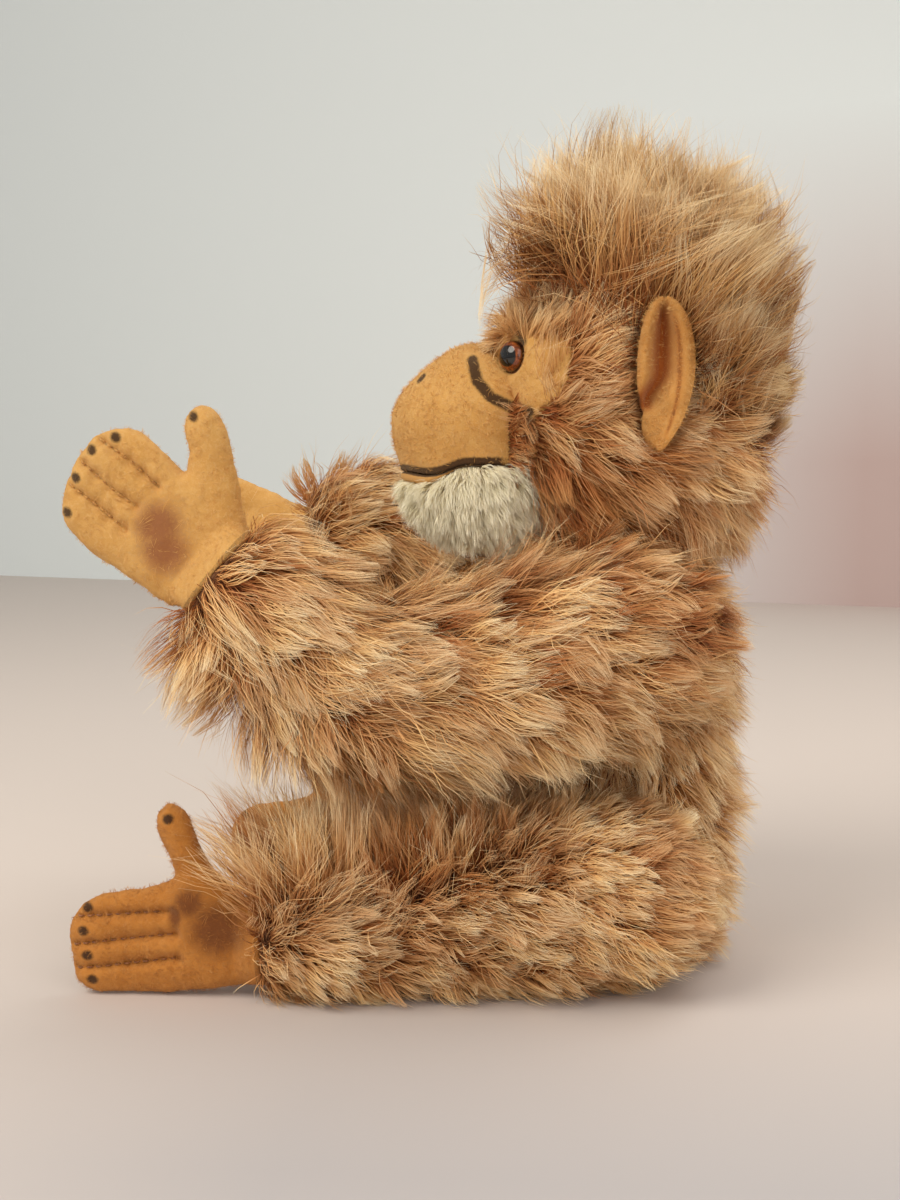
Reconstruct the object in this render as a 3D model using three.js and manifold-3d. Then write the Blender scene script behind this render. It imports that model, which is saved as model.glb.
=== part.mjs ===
// A jointed mohair ape, seated with its arms held forward. Millimetres, +Z up.
// The face looks along -Y and the toy's own left is +X. The origin is the middle of the flat seat.
// Every limb and the head hang on a disc joint: two hardboard discs and two washers that a cotter
// pin clamps over the two cloth walls. The covers are hollow shells with the stuffing inside them.

import * as THREE from 'three';
import { mergeVertices } from 'three/addons/utils/BufferGeometryUtils.js';
import Module from 'manifold-3d';

const wasm = await Module();
wasm.setup();

// ---------- driving dimensions ----------

const SIDES = ['left', 'right'];
const GAP = 0.3; // between neighbouring pieces
const CLOTH = 1.8; // wall of a cover

const SIDE_FLAT = 30; // half width of the trunk between its flat sides
const LIMB_FLAT = SIDE_FLAT + 2 * GAP;
const NECK_TOP = 145; // flat top of the trunk
const HEAD_FLAT = NECK_TOP + 2 * GAP;
const TRUNK_DEPTH = 0.94; // front to back, as a share of the side to side width
const TRUNK_PROFILE = [
  [24, 0], [32, 8], [36, 26], [37.5, 55], [37, 88], [36, 112], [32, 127], [25, 139], [18, NECK_TOP],
];

const NECK = { y: 2 };
const SHOULDER = { y: 4, z: 112 };
const HIP = { y: 2, z: 31 };

const DISC = { radius: 12, thickness: 2.5 };
const WASHER = { radius: 6, thickness: 0.8 };
const PIN = {
  radius: 1.2,
  hole: 1.7,
  eye: 2.3,
  eyeWire: 0.8,
  leg: 0.85, // how far the shaft runs on before its two ends curl away
  curl: [[0, -0.65], [1.3, -1.6], [2.6, -1.9], [3.7, -1.2]],
  curlWire: 0.65,
};

const SKULL = { centre: [0, 5, 186], radii: [38, 41, 46] };
const BROW = { centre: [0, -13, 199], radii: [27, 25, 26] };
const MUZZLE = { centre: [0, -46, 181], radii: [26, 28, 27] };
const JAW = { centre: [0, -43, 164], radii: [24, 27, 24] };
const FACE_OPENING = { centre: [0, -48, 190], radii: [32, 38, 33] };
const MOUTH_Z = 164.5;
const LIP = { height: 3.4, back: -52 };
const EYE = { centre: [19.0, -31.6, 202], radius: 5.2, dome: 3.8, turn: 0.92 };
const SHANK = { length: 7, wire: 0.6, loop: 2, room: 6 };
const EAR = {
  outer: { centre: [41, 16, 195], radii: [7.5, 9, 22.5] },
  cup: { centre: [46.5, 15, 196], radii: [8.5, 6.6, 19.5] },
};
const CROWN = { centre: [0, 16, 210], radii: [43, 36, 55], front: [-24, 226], nape: [50, 164] };

// The limbs are soft, and the two of a pair are bent by hand a little differently.
const ARM = {
  paths: {
    left: [[45, 4, 112], [49, -36, 103], [55, -84, 100], [57, -103, 118.5], [58, -121, 133.5]],
    right: [[45, 4, 112], [49, -32, 118], [54, -68, 133], [57, -90, 141], [58, -109, 135.5]],
  },
  root: 25, // radius of the ball round the joint
  radii: [25, 24, 22, 20, 18.5, 17],
  widthAtRoot: 0.84,
};
const LEG = {
  paths: {
    left: [[45, 2, 31], [49, -30, 25.5], [56, -68, 18.8], [60, -94, 16.7], [61, -108, 16.7]],
    right: [[45, 2, 31], [48, -26, 42], [53, -51, 35], [57, -70, 17.4], [58, -86, 17.4]],
  },
  root: 26,
  radii: [26, 24, 20, 16.5, 14, 13.5],
  widthAtRoot: 0.86,
};

// Outlines of the felt mitts: u runs out from the cuff, v towards the thumb or big toe.
const HAND = {
  outline: [
    [-8, -16.2], [0, -16.2], [6, -18.4], [14, -19.3], [22, -20], [31, -21.1], [42, -20.7], [48, -19],
    [53, -12], [56.2, -2], [56.4, 7], [53.5, 13], [49.5, 16.6], [44.5, 18.2], [38, 18], [32, 17.4],
    [27.6, 17.6], [30, 22], [36, 27.5], [38.2, 32], [36.4, 36.6], [32, 38.2], [26.6, 36.3], [18.7, 30.5],
    [11, 24.6], [5, 19.2], [0, 16.2], [-8, 16.2],
  ],
  thickness: 13,
  edge: 3.6,
};
const FOOT = {
  outline: [
    [-8, -13.2], [0, -13.2], [5, -13.7], [22, -15.8], [44, -16.1], [54, -15.9], [59, -12.3], [60.8, -4],
    [61, 4.5], [58.2, 10.6], [51.8, 15], [43.2, 16.5], [34.6, 17.8], [27.8, 20.8], [29.3, 28], [32.2, 34.3],
    [32.9, 40.4], [29.1, 44.6], [24.5, 43], [21.4, 37.4], [19.2, 31], [16.4, 26], [10, 18.6], [4, 14.2],
    [0, 13.2], [-8, 13.2],
  ],
  thickness: 13,
  edge: 3.6,
};
const MITT_WALL = 1.5;
const MITT_INSET = 2.4; // of the hollow's outline, so that the wall stays whole under the rounded edge
const MITT_POINTS = 32;
const ROOT_RINGS = [70, 45, 20]; // degrees from the cuff's direction round a limb's ball
const FAR = 260; // beyond every piece, for cutting blocks

// ---------- materials ----------

function material(color, roughness, metalness = 0) {
  return new THREE.MeshStandardMaterial({ color, roughness, metalness });
}

const mohair = () => material(0xc49a66, 0.9);
const crownMohair = () => material(0xd8b888, 0.9);
const chinPile = () => material(0xe4dac0, 0.9);
const felt = () => material(0xe0a961, 0.92);
const stuffing = () => material(0xd9cfa8, 0.95);
const hardboard = () => material(0x7a5434, 0.75);
const steel = () => material(0xb4b6b8, 0.4, 0.9);
const glass = () => material(0x6b3410, 0.05);

// ---------- solids ----------

function solid(geometry) {
  const bare = geometry.clone();
  bare.deleteAttribute('normal');
  bare.deleteAttribute('uv');
  const merged = mergeVertices(bare, 1e-4);
  return new wasm.Manifold(new wasm.Mesh({
    numProp: 3,
    vertProperties: merged.attributes.position.array,
    triVerts: new Uint32Array(merged.index.array),
  }));
}

function geometryOf(manifold) {
  const { vertProperties, triVerts } = manifold.getMesh();
  const geometry = new THREE.BufferGeometry();
  geometry.setAttribute('position', new THREE.BufferAttribute(new Float32Array(vertProperties), 3));
  geometry.setIndex(new THREE.BufferAttribute(new Uint32Array(triVerts), 1));
  geometry.computeVertexNormals();
  return geometry;
}

function ellipsoid({ centre, radii }, grow = 0, around = 20, along = 12) {
  const geometry = new THREE.SphereGeometry(1, around, along);
  geometry.rotateX(Math.PI / 2);
  geometry.scale(...radii.map((radius) => radius + grow));
  geometry.translate(...centre);
  return solid(geometry);
}

function block([x0, y0, z0], [x1, y1, z1]) {
  const geometry = new THREE.BoxGeometry(x1 - x0, y1 - y0, z1 - z0);
  geometry.translate((x0 + x1) / 2, (y0 + y1) / 2, (z0 + z1) / 2);
  return solid(geometry);
}

function cylinder(radius, z0, z1, sides = 16) {
  const geometry = new THREE.CylinderGeometry(radius, radius, z1 - z0, sides);
  geometry.rotateX(Math.PI / 2);
  geometry.translate(0, 0, (z0 + z1) / 2);
  return geometry;
}

function ring(hole, radius, z0, z1, sides) {
  const corners = [[hole, z0], [radius, z0], [radius, z1], [hole, z1], [hole, z0]];
  const geometry = new THREE.LatheGeometry(corners.map(([r, z]) => new THREE.Vector2(r, z)), sides);
  geometry.rotateX(Math.PI / 2);
  return geometry;
}

function wire(points, radius, steps) {
  const section = new THREE.Shape().absarc(0, 0, radius, 0, Math.PI * 2);
  const extrudePath = new THREE.CatmullRomCurve3(points.map((point) => new THREE.Vector3(...point)));
  return new THREE.ExtrudeGeometry(section, { steps, curveSegments: 3, bevelEnabled: false, extrudePath });
}

// Paired pieces are made on the left and mirrored for the right.
function sided(manifold, side) {
  return side === 'left' ? manifold : manifold.mirror([1, 0, 0]);
}

const toy = new THREE.Group();

function add(name, shape, look, parent = toy) {
  const mesh = new THREE.Mesh(shape.isBufferGeometry ? shape : geometryOf(shape), look);
  mesh.name = name;
  parent.add(mesh);
}

// ---------- disc joints ----------

// Each joint is laid out along its own +Z, from the body into the limb, with z = 0 between the walls.
const STACK = {
  disc: 2 * GAP + CLOTH,
  washer: 3 * GAP + CLOTH + DISC.thickness,
  end: 4 * GAP + CLOTH + DISC.thickness + WASHER.thickness,
};
const POCKET = STACK.end + 2 * PIN.eye + 2 * PIN.eyeWire + GAP;
const JOINTS = [
  { name: 'neck', limb: 'head', at: [0, NECK.y, NECK_TOP + GAP], turn: [0, 0, 0] },
];
for (const side of SIDES) {
  const sign = side === 'left' ? 1 : -1;
  const x = sign * (SIDE_FLAT + GAP);
  const turn = [0, sign * Math.PI / 2, 0];
  JOINTS.push({ name: `shoulder_${side}`, limb: 'arm', at: [x, SHOULDER.y, SHOULDER.z], turn });
  JOINTS.push({ name: `hip_${side}`, limb: 'leg', at: [x, HIP.y, HIP.z], turn });
}

function cotterPin() {
  const low = -STACK.end;
  const high = STACK.end + PIN.eyeWire;
  const eye = new THREE.TorusGeometry(PIN.eye, PIN.eyeWire, 5, 8);
  eye.rotateX(Math.PI / 2);
  eye.translate(0, 0, high + PIN.eye);
  let pin = solid(cylinder(PIN.radius, low - PIN.leg, high, 8)).add(solid(eye));
  for (const way of [1, -1]) {
    const curl = PIN.curl.map(([x, z]) => [way * x, 0, low + z]);
    pin = pin.add(solid(wire(curl, PIN.curlWire, 4)));
  }
  return pin;
}

function placed(geometry, joint) {
  const turned = geometry.clone();
  turned.rotateY(joint.turn[1]);
  turned.translate(...joint.at);
  return solid(turned);
}

// What the joints take out of the covers (pin holes) and out of the stuffing (pockets for the discs).
const pinHole = (joint) => placed(cylinder(PIN.hole, -POCKET, POCKET, 12), joint);
const discPocket = (joint) => placed(cylinder(DISC.radius + GAP, -POCKET, POCKET), joint);

function addJoint(joint) {
  const place = new THREE.Group();
  place.position.set(...joint.at);
  place.rotation.set(...joint.turn);
  toy.add(place);
  add(`${joint.name}_pin`, cotterPin(), steel(), place);
  for (const [part, way] of [['body', -1], [joint.limb, 1]]) {
    const span = (start, deep) => [way * start, way * (start + deep)].sort((a, b) => a - b);
    const disc = ring(PIN.hole, DISC.radius, ...span(STACK.disc, DISC.thickness), 18);
    const washer = ring(PIN.hole, WASHER.radius, ...span(STACK.washer, WASHER.thickness), 12);
    add(`${joint.name}_${part}_disc`, disc, hardboard(), place);
    add(`${joint.name}_${part}_washer`, washer, steel(), place);
  }
}

// ---------- trunk ----------

function trunkSolid(inset) {
  const outline = new THREE.SplineCurve(TRUNK_PROFILE.map(([r, z]) => new THREE.Vector2(r, z)));
  const wall = outline.getPoints(10).map((point) => new THREE.Vector2(point.x - inset, point.y));
  const top = wall[wall.length - 1];
  wall[0].y += inset;
  top.y -= inset;
  const profile = [new THREE.Vector2(0, wall[0].y), ...wall, new THREE.Vector2(0, top.y)];
  const geometry = new THREE.LatheGeometry(profile, 22);
  geometry.rotateX(Math.PI / 2);
  geometry.scale(1, TRUNK_DEPTH, 1);
  const flat = SIDE_FLAT - inset;
  return solid(geometry).intersect(block([-flat, -FAR, -FAR], [flat, FAR, FAR]));
}

function addTrunk() {
  let cover = trunkSolid(0).subtract(trunkSolid(CLOTH));
  let fill = trunkSolid(CLOTH + GAP);
  for (const joint of JOINTS) {
    cover = cover.subtract(pinHole(joint));
    fill = fill.subtract(discPocket(joint));
  }
  add('torso_cover', cover, mohair());
  add('torso_stuffing', fill, stuffing());
}

// ---------- limbs ----------

function pathOf(limb, side) {
  return new THREE.CatmullRomCurve3(limb.paths[side].map((point) => new THREE.Vector3(...point)));
}

// A round tapered body bent along a path, with a ball at its root and a flat cut at its cuff.
function limbSolid(limb, side, inset, overshoot) {
  const path = pathOf(limb, side);
  const length = path.getLength();
  const last = limb.radii.length - 1;
  const taper = new THREE.SplineCurve(limb.radii.map((r, i) => new THREE.Vector2(r, i / last)));
  const root = limb.root - inset;
  const profile = [new THREE.Vector2(0, -root)];
  for (const angle of ROOT_RINGS) {
    const a = THREE.MathUtils.degToRad(angle);
    profile.push(new THREE.Vector2(root * Math.cos(a), -root * Math.sin(a)));
  }
  for (const point of taper.getPoints(7)) {
    profile.push(new THREE.Vector2(point.x - inset, point.y * length));
  }
  const end = length + overshoot;
  profile[profile.length - 1].y = end;
  profile.push(new THREE.Vector2(0, end));
  const geometry = new THREE.LatheGeometry(profile, 14);
  bendAlong(geometry, path, length, limb.widthAtRoot);
  return solid(geometry).subtract(block([-FAR, -FAR, -FAR], [LIMB_FLAT + inset, FAR, FAR]));
}

// Carries a lathe's own +Y onto the path. Sideways widths grow from widthAtRoot to 1 at the cuff.
function bendAlong(geometry, path, length, widthAtRoot) {
  const position = geometry.attributes.position;
  for (let i = 0; i < position.count; i += 1) {
    const along = position.getY(i);
    const share = THREE.MathUtils.clamp(along / length, 0, 1);
    const tangent = path.getTangentAt(share);
    const across = new THREE.Vector3(1, 0, 0).addScaledVector(tangent, -tangent.x).normalize();
    const upward = new THREE.Vector3().crossVectors(across, tangent);
    const width = THREE.MathUtils.lerp(widthAtRoot, 1, share);
    const point = path.getPointAt(share)
      .addScaledVector(tangent, along - share * length)
      .addScaledVector(across, position.getX(i) * width)
      .addScaledVector(upward, position.getZ(i));
    position.setXYZ(i, point.x, point.y, point.z);
  }
}

// The felt mitt: an outline in the limb's own upright plane. The outside has rounded edges, and the
// hollow inside it is a plain slab whose outline is drawn in by the inset.
function mittSolid(mitt, path, wall, inset, overshoot) {
  const round = new THREE.SplineCurve(mitt.outline.map(([u, v]) => new THREE.Vector2(u, v)));
  const points = [];
  for (let i = 0; i <= MITT_POINTS; i += 1) {
    const tangent = round.getTangent(i / MITT_POINTS);
    const inward = new THREE.Vector2(-tangent.y, tangent.x);
    points.push(round.getPoint(i / MITT_POINTS).addScaledVector(inward, inset));
  }
  const edge = inset > 0 ? 0 : mitt.edge;
  const depth = mitt.thickness - 2 * wall - 2 * edge;
  const geometry = new THREE.ExtrudeGeometry(new THREE.Shape(points), {
    depth,
    bevelEnabled: edge > 0,
    bevelThickness: edge,
    bevelSize: edge,
    bevelOffset: -edge,
    bevelSegments: 2,
  });
  geometry.translate(0, 0, -depth / 2);
  const behindCuff = block([-FAR, -FAR, -FAR], [GAP - overshoot, FAR, FAR]);
  return placeAtCuff(solid(geometry).subtract(behindCuff), path);
}

// Turns the mitt's u, v, thickness onto the cuff's own outward, upward and sideways directions.
function placeAtCuff(manifold, path) {
  const out = path.getTangentAt(1);
  const across = new THREE.Vector3(1, 0, 0).addScaledVector(out, -out.x).normalize();
  const upward = new THREE.Vector3().crossVectors(across, out).negate();
  const matrix = new THREE.Matrix4().makeBasis(out, upward, new THREE.Vector3().crossVectors(out, upward));
  matrix.setPosition(path.getPointAt(1));
  return solid(geometryOf(manifold).applyMatrix4(matrix));
}

function addLimb(kind, mittName, limb, mitt, jointName, side) {
  const joint = JOINTS.find((each) => each.name === `${jointName}_left`);
  const path = pathOf(limb, side);
  const shell = limbSolid(limb, side, 0, 0)
    .subtract(limbSolid(limb, side, CLOTH, 2))
    .subtract(pinHole(joint));
  const hollow = mittSolid(mitt, path, MITT_WALL, MITT_INSET, 2);
  const feltShell = mittSolid(mitt, path, 0, 0, 0).subtract(hollow);
  const fill = limbSolid(limb, side, CLOTH + GAP, 0)
    .add(mittSolid(mitt, path, MITT_WALL + GAP, MITT_INSET + GAP, 1))
    .subtract(discPocket(joint));
  const seam = path.getPointAt(1).x;
  const outer = feltShell.intersect(block([seam + GAP / 2, -FAR, -FAR], [FAR, FAR, FAR]));
  const inner = feltShell.intersect(block([-FAR, -FAR, -FAR], [seam - GAP / 2, FAR, FAR]));
  add(`${kind}_cover_${side}`, sided(shell, side), mohair());
  add(`${kind}_stuffing_${side}`, sided(fill, side), stuffing());
  add(`${mittName}_outer_felt_${side}`, sided(outer, side), felt());
  add(`${mittName}_inner_felt_${side}`, sided(inner, side), felt());
}

// ---------- head ----------

function skullSolid(grow) {
  const floor = HEAD_FLAT - grow;
  const bothBones = ellipsoid(SKULL, grow).add(ellipsoid(BROW, grow, 16, 8));
  return bothBones.subtract(block([-FAR, -FAR, -FAR], [FAR, FAR, floor]));
}

function snoutSolid(grow) {
  return ellipsoid(MUZZLE, grow, 18, 10).add(ellipsoid(JAW, grow, 18, 8));
}

function eyeSolid(grow) {
  const geometry = new THREE.SphereGeometry(1, 12, 6);
  geometry.scale(EYE.radius + grow, EYE.radius + grow, EYE.dome + grow);
  geometry.rotateX(Math.PI / 2);
  geometry.rotateZ(EYE.turn);
  geometry.translate(...EYE.centre);
  return solid(geometry);
}

// The shank and its loop, laid along +Z from the back of the eye into the head.
function shankSolid() {
  const loop = new THREE.TorusGeometry(SHANK.loop, SHANK.wire, 5, 8);
  loop.rotateX(Math.PI / 2);
  loop.translate(0, 0, SHANK.length + SHANK.loop);
  return solid(cylinder(SHANK.wire, 0, SHANK.length, 6)).add(solid(loop));
}

function behindEye(manifold) {
  const geometry = geometryOf(manifold);
  geometry.translate(0, 0, EYE.dome + GAP);
  geometry.rotateX(-Math.PI / 2);
  geometry.rotateZ(EYE.turn);
  geometry.translate(...EYE.centre);
  return solid(geometry);
}

function addHead() {
  const joint = JOINTS[0];
  const skull = skullSolid(0);
  const skullShell = skull.subtract(skullSolid(-CLOTH)).subtract(pinHole(joint));
  const opening = ellipsoid(FACE_OPENING, 0);
  const snoutRoom = snoutSolid(GAP);
  const headRoom = skullSolid(GAP);
  const snoutShell = snoutSolid(0).subtract(snoutSolid(-CLOTH)).subtract(headRoom);
  const lipBox = (grow) => block(
    [-FAR, -FAR, MOUTH_Z - LIP.height - grow],
    [FAR, LIP.back + grow, MOUTH_Z - GAP + 2 * grow],
  );
  const belowMouth = block([-FAR, -FAR, -FAR], [FAR, FAR, MOUTH_Z - GAP]);
  const aboveMouth = block([-FAR, -FAR, MOUTH_Z], [FAR, FAR, FAR]);

  let faceFelt = skullShell.intersect(ellipsoid(FACE_OPENING, -GAP)).subtract(snoutRoom);
  let fill = skullSolid(-CLOTH - GAP).add(snoutSolid(-CLOTH - GAP)).subtract(discPocket(joint));
  for (const side of SIDES) {
    const shank = behindEye(shankSolid());
    const room = cylinder(SHANK.loop + SHANK.wire + GAP, -EYE.dome, SHANK.length + SHANK.room, 10);
    const shankRoom = behindEye(solid(room));
    faceFelt = faceFelt.subtract(sided(eyeSolid(GAP), side)).subtract(sided(shankRoom, side));
    fill = fill.subtract(sided(eyeSolid(GAP), side)).subtract(sided(shankRoom, side));
    add(`eye_${side}`, sided(eyeSolid(0), side), glass());
    add(`eye_shank_${side}`, sided(shank, side), steel());
    add(`ear_${side}`, sided(earSolid(0).subtract(headRoom), side), felt());
  }
  add('head_cover', skullShell.subtract(opening).subtract(snoutRoom), mohair());
  add('head_stuffing', fill, stuffing());
  add('face_felt', faceFelt, felt());
  add('muzzle_felt', snoutShell.intersect(aboveMouth), felt());
  add('lower_lip_felt', snoutShell.intersect(lipBox(0)), felt());
  add('chin_patch', snoutShell.intersect(belowMouth).subtract(lipBox(GAP)), chinPile());
  add('crown_panel', crownSolid(headRoom), crownMohair());
}

function earSolid(grow) {
  const outer = ellipsoid(EAR.outer, grow, 14, 10);
  return grow > 0 ? outer : outer.subtract(ellipsoid(EAR.cup, 0, 14, 10));
}

// The crown's long pile, above a slanting line from the hairline at the brow to the nape.
function crownSolid(headRoom) {
  const [frontY, frontZ] = CROWN.front;
  const [napeY, napeZ] = CROWN.nape;
  const below = new THREE.BoxGeometry(FAR, 2 * FAR, FAR);
  below.translate(0, 0, -FAR / 2);
  below.rotateX(Math.atan2(napeZ - frontZ, napeY - frontY));
  below.translate(0, frontY, frontZ);
  return ellipsoid(CROWN)
    .subtract(headRoom)
    .subtract(solid(below))
    .subtract(earSolid(2 * GAP))
    .subtract(sided(earSolid(2 * GAP), 'right'));
}

// ---------- the toy ----------

addTrunk();
addHead();
for (const side of SIDES) {
  addLimb('arm', 'hand', ARM, HAND, 'shoulder', side);
  addLimb('leg', 'foot', LEG, FOOT, 'hip', side);
}
for (const joint of JOINTS) {
  addJoint(joint);
}

export default toy;
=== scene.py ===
"""A jointed mohair ape, seated: soft covers under combed fur, felt face, ears, hands and feet."""

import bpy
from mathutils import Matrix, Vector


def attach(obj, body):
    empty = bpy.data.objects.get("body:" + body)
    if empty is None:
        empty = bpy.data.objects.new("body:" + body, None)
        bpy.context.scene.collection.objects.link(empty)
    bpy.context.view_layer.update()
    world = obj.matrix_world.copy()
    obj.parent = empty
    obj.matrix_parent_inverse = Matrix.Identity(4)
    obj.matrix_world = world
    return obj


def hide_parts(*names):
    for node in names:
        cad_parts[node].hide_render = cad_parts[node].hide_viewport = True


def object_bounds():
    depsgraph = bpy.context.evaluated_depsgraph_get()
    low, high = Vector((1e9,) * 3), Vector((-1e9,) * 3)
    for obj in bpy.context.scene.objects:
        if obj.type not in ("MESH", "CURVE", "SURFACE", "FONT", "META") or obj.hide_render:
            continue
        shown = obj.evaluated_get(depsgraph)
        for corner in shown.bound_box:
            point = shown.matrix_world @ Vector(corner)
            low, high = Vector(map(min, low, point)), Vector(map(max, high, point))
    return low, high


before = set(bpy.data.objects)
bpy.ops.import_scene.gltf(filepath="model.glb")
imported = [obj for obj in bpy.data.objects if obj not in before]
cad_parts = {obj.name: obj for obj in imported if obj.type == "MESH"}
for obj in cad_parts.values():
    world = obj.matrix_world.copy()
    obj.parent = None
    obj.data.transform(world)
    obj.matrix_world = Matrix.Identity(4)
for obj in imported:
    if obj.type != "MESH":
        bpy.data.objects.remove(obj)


def plain(box):
    return [[float(value) for value in corner] for corner in box]


CAD_BOX = plain(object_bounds())

import math

import bmesh
import bpy
import numpy as np
from mathutils import Vector
from mathutils.geometry import delaunay_2d_cdt
from mathutils.kdtree import KDTree

MM = 0.001
SIDES = {"left": 1, "right": -1}
FAR = 80.0  # no surface of the head is further from where its rays start
UP = np.array([0.0, 0.0, 1.0])
BACK = np.array([0.0, 1.0, 0.0])

# ---------- dimensions shared with the CAD, in millimetres ----------

LIMB_FLAT = 30.6
SHOULDER = (30.3, 4, 112)
HIP = (30.3, 2, 31)
NECK_TOP = 145.6
SKULL = ((0, 5, 186), (38, 41, 46))
BROW = ((0, -13, 199), (27, 25, 26))
MUZZLE = ((0, -46, 181), (26, 28, 27))
JAW = ((0, -43, 164), (24, 27, 24))
SNOUT_CENTRE = (0.0, -43.0, 165.0)  # the rows of the muzzle, lip and chin are cast from here
FACE = ((-33.5, 198.5), (20.5, 18.5))  # the bare felt round the eyes, seen from the side
HAIRLINE = ((-24, 226), (50, 164))
BROW_LINE = -40  # hair in front of this y is drawn back over the brow
EYE = {"centre": (19, -31.6, 202), "radius": 5.2, "dome": 3.8, "turn": 0.92}
EAR_AT = (41, 16, 195)
EAR_BACK = 37.0  # hair under an ear lies no further out than this
LIMBS = {
    "arm": {
        "left": [(45, 4, 112), (49, -36, 103), (55, -84, 100), (57, -103, 118.5), (58, -121, 133.5)],
        "right": [(45, 4, 112), (49, -32, 118), (54, -68, 133), (57, -90, 141), (58, -109, 135.5)],
        "root": 25, "radii": [25, 24, 22, 20, 18.5, 17], "width": 0.84, "joint": SHOULDER,
    },
    "leg": {
        "left": [(45, 2, 31), (49, -30, 25.5), (56, -68, 18.8), (60, -94, 16.7), (61, -108, 16.7)],
        "right": [(45, 2, 31), (48, -26, 42), (53, -51, 35), (57, -70, 17.4), (58, -86, 17.4)],
        "root": 26, "radii": [26, 24, 20, 16.5, 14, 13.5], "width": 0.86, "joint": HIP,
    },
}
# Mitts lie in a plane of their own: u out from the cuff, v towards the thumb or the big toe.
MITTS = {
    "arm": {
        "name": "hand",
        "outline": [
            (-2, -16.2), (0, -16.2), (6, -18.4), (14, -19.3), (22, -20), (31, -21.1), (42, -20.7),
            (48, -19), (53, -12), (56.2, -2), (56.4, 7), (53.5, 13), (49.5, 16.6), (44.5, 18.2),
            (38, 18), (32, 17.4), (27.6, 17.6), (30, 22), (36, 27.5), (38.2, 32), (36.4, 36.6), (32, 38.2),
            (26.6, 36.3), (18.7, 30.5), (11, 24.6), (5, 19.2), (0, 16.2), (-2, 16.2),
        ],
        "seams": [
            [(55, 8.4), (42.6, 9.4), (30.5, 9)],
            [(55, -0.6), (40, -0.9), (31.9, -0.3)],
            [(53.4, -8.6), (40.7, -8), (30, -8)],
        ],
        "dots": [(50.3, 12.2), (53.6, 4.4), (52.2, -5.5), (47.6, -15.6), (35.6, 32.6)],
        "blush_and_shade": [(22.5, 0, 8, 8), (16.5, -4.5, 8, 8)],
        "cuff": 16.2,
    },
    "leg": {
        "name": "foot",
        "outline": [
            (-2, -13.2), (0, -13.2), (5, -13.7), (22, -15.8), (44, -16.1), (54, -15.9), (59, -12.3),
            (60.8, -4), (61, 4.5), (58.2, 10.6), (51.8, 15), (43.2, 16.5), (34.6, 17.8), (27.8, 20.8),
            (29.3, 28), (32.2, 34.3), (32.9, 40.4), (29.1, 44.6), (24.5, 43), (21.4, 37.4), (19.2, 31),
            (16.4, 26), (10, 18.6), (4, 14.2), (0, 13.2), (-2, 13.2),
        ],
        "seams": [
            [(58.5, 8.6), (50, 9.2), (29, 10.8)],
            [(60, -0.5), (50, 0.8), (27, 3.6)],
            [(59, -8), (50, -7.2), (26, -4)],
        ],
        "dots": [(54.6, 11.4), (55.8, 4.4), (54.6, -3.4), (53.2, -11.2), (28.4, 40.2)],
        "blush_and_shade": [(13, 6, 10, 9.5), (22, 14, 5.5, 5), (26.5, 10, 2.5, 4.5)],
        "cuff": 13.2,
    },
}
LIMB_FUR = {"arm": (41000, 31), "leg": (33000, 38)}  # strands, and the first seed
MITT_HALF = 6.4  # half of a mitt's thickness at its fullest
MITT_LEVEL = 1.15  # spacing of a mitt's mesh
MITT_EDGE_POINTS = 210
CLOTH_STEPS = 20
DISC_RADIUS = 21  # no fur grows where a limb's flat side lies against the trunk
MOUTH_BAND = (-1.2, 1.2)  # elevations between which a row of the snout is looked for
FUZZ_WIDTH = 0.11

# ---------- small tools ----------


def unit(v):
    return v / np.maximum(np.linalg.norm(v, axis=-1, keepdims=True), 1e-9)


def smooth(a, b, x):
    t = np.clip((x - a) / (b - a), 0, 1)
    return t * t * (3 - 2 * t)


def mix(a, b, t):
    return a + (b - a) * t


def reach(points, shape):
    """1 on an ellipsoid's surface, less inside it."""
    centre, radii = shape
    return np.linalg.norm((points - np.array(centre, float)) / np.array(radii, float), axis=-1)


def blended(points, shapes, k):
    """As reach, for several ellipsoids run together softly."""
    return -np.log(sum(np.exp(-k * reach(points, s)) for s in shapes)) / k


def surface_along(centre, rays, field):
    """The points at which the rays from the centre reach 1 in the field."""
    low = np.zeros(len(rays))
    high = np.full(len(rays), FAR)
    for _ in range(34):
        middle = (low + high) / 2
        inside = field(centre + rays * middle[:, None]) < 1
        low = np.where(inside, middle, low)
        high = np.where(inside, high, middle)
    return centre + rays * low[:, None]


def to_polyline(points, line):
    """Distance from each 2-D point to a line of 2-D points."""
    best = np.full(len(points), 1e9)
    for a, b in zip(line[:-1], line[1:]):
        a, b = np.array(a, float), np.array(b, float)
        t = np.clip((points - a) @ (b - a) / ((b - a) @ (b - a)), 0, 1)
        best = np.minimum(best, np.linalg.norm(points - (a + t[:, None] * (b - a)), axis=1))
    return best


def spline(points, count):
    """A centripetal Catmull-Rom curve through the points."""
    p = np.array(points, float)
    p = np.vstack([2 * p[0] - p[1], p, 2 * p[-1] - p[-2]])
    spans = len(p) - 3
    out = []
    for s in np.linspace(0, spans, count):
        i = min(int(s), spans - 1)
        t = s - i
        a, b, c, d = p[i:i + 4]
        k = [max(np.linalg.norm(q - r), 1e-6) ** 0.5 for q, r in ((b, a), (c, b), (d, c))]
        m1 = ((b - a) / k[0] - (c - a) / (k[0] + k[1]) + (c - b) / k[1]) * k[1]
        m2 = ((c - b) / k[1] - (d - b) / (k[1] + k[2]) + (d - c) / k[2]) * k[1]
        out.append((2 * t**3 - 3 * t**2 + 1) * b + (t**3 - 2 * t**2 + t) * m1
                   + (-2 * t**3 + 3 * t**2) * c + (t**3 - t**2) * m2)
    return np.array(out)


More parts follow.
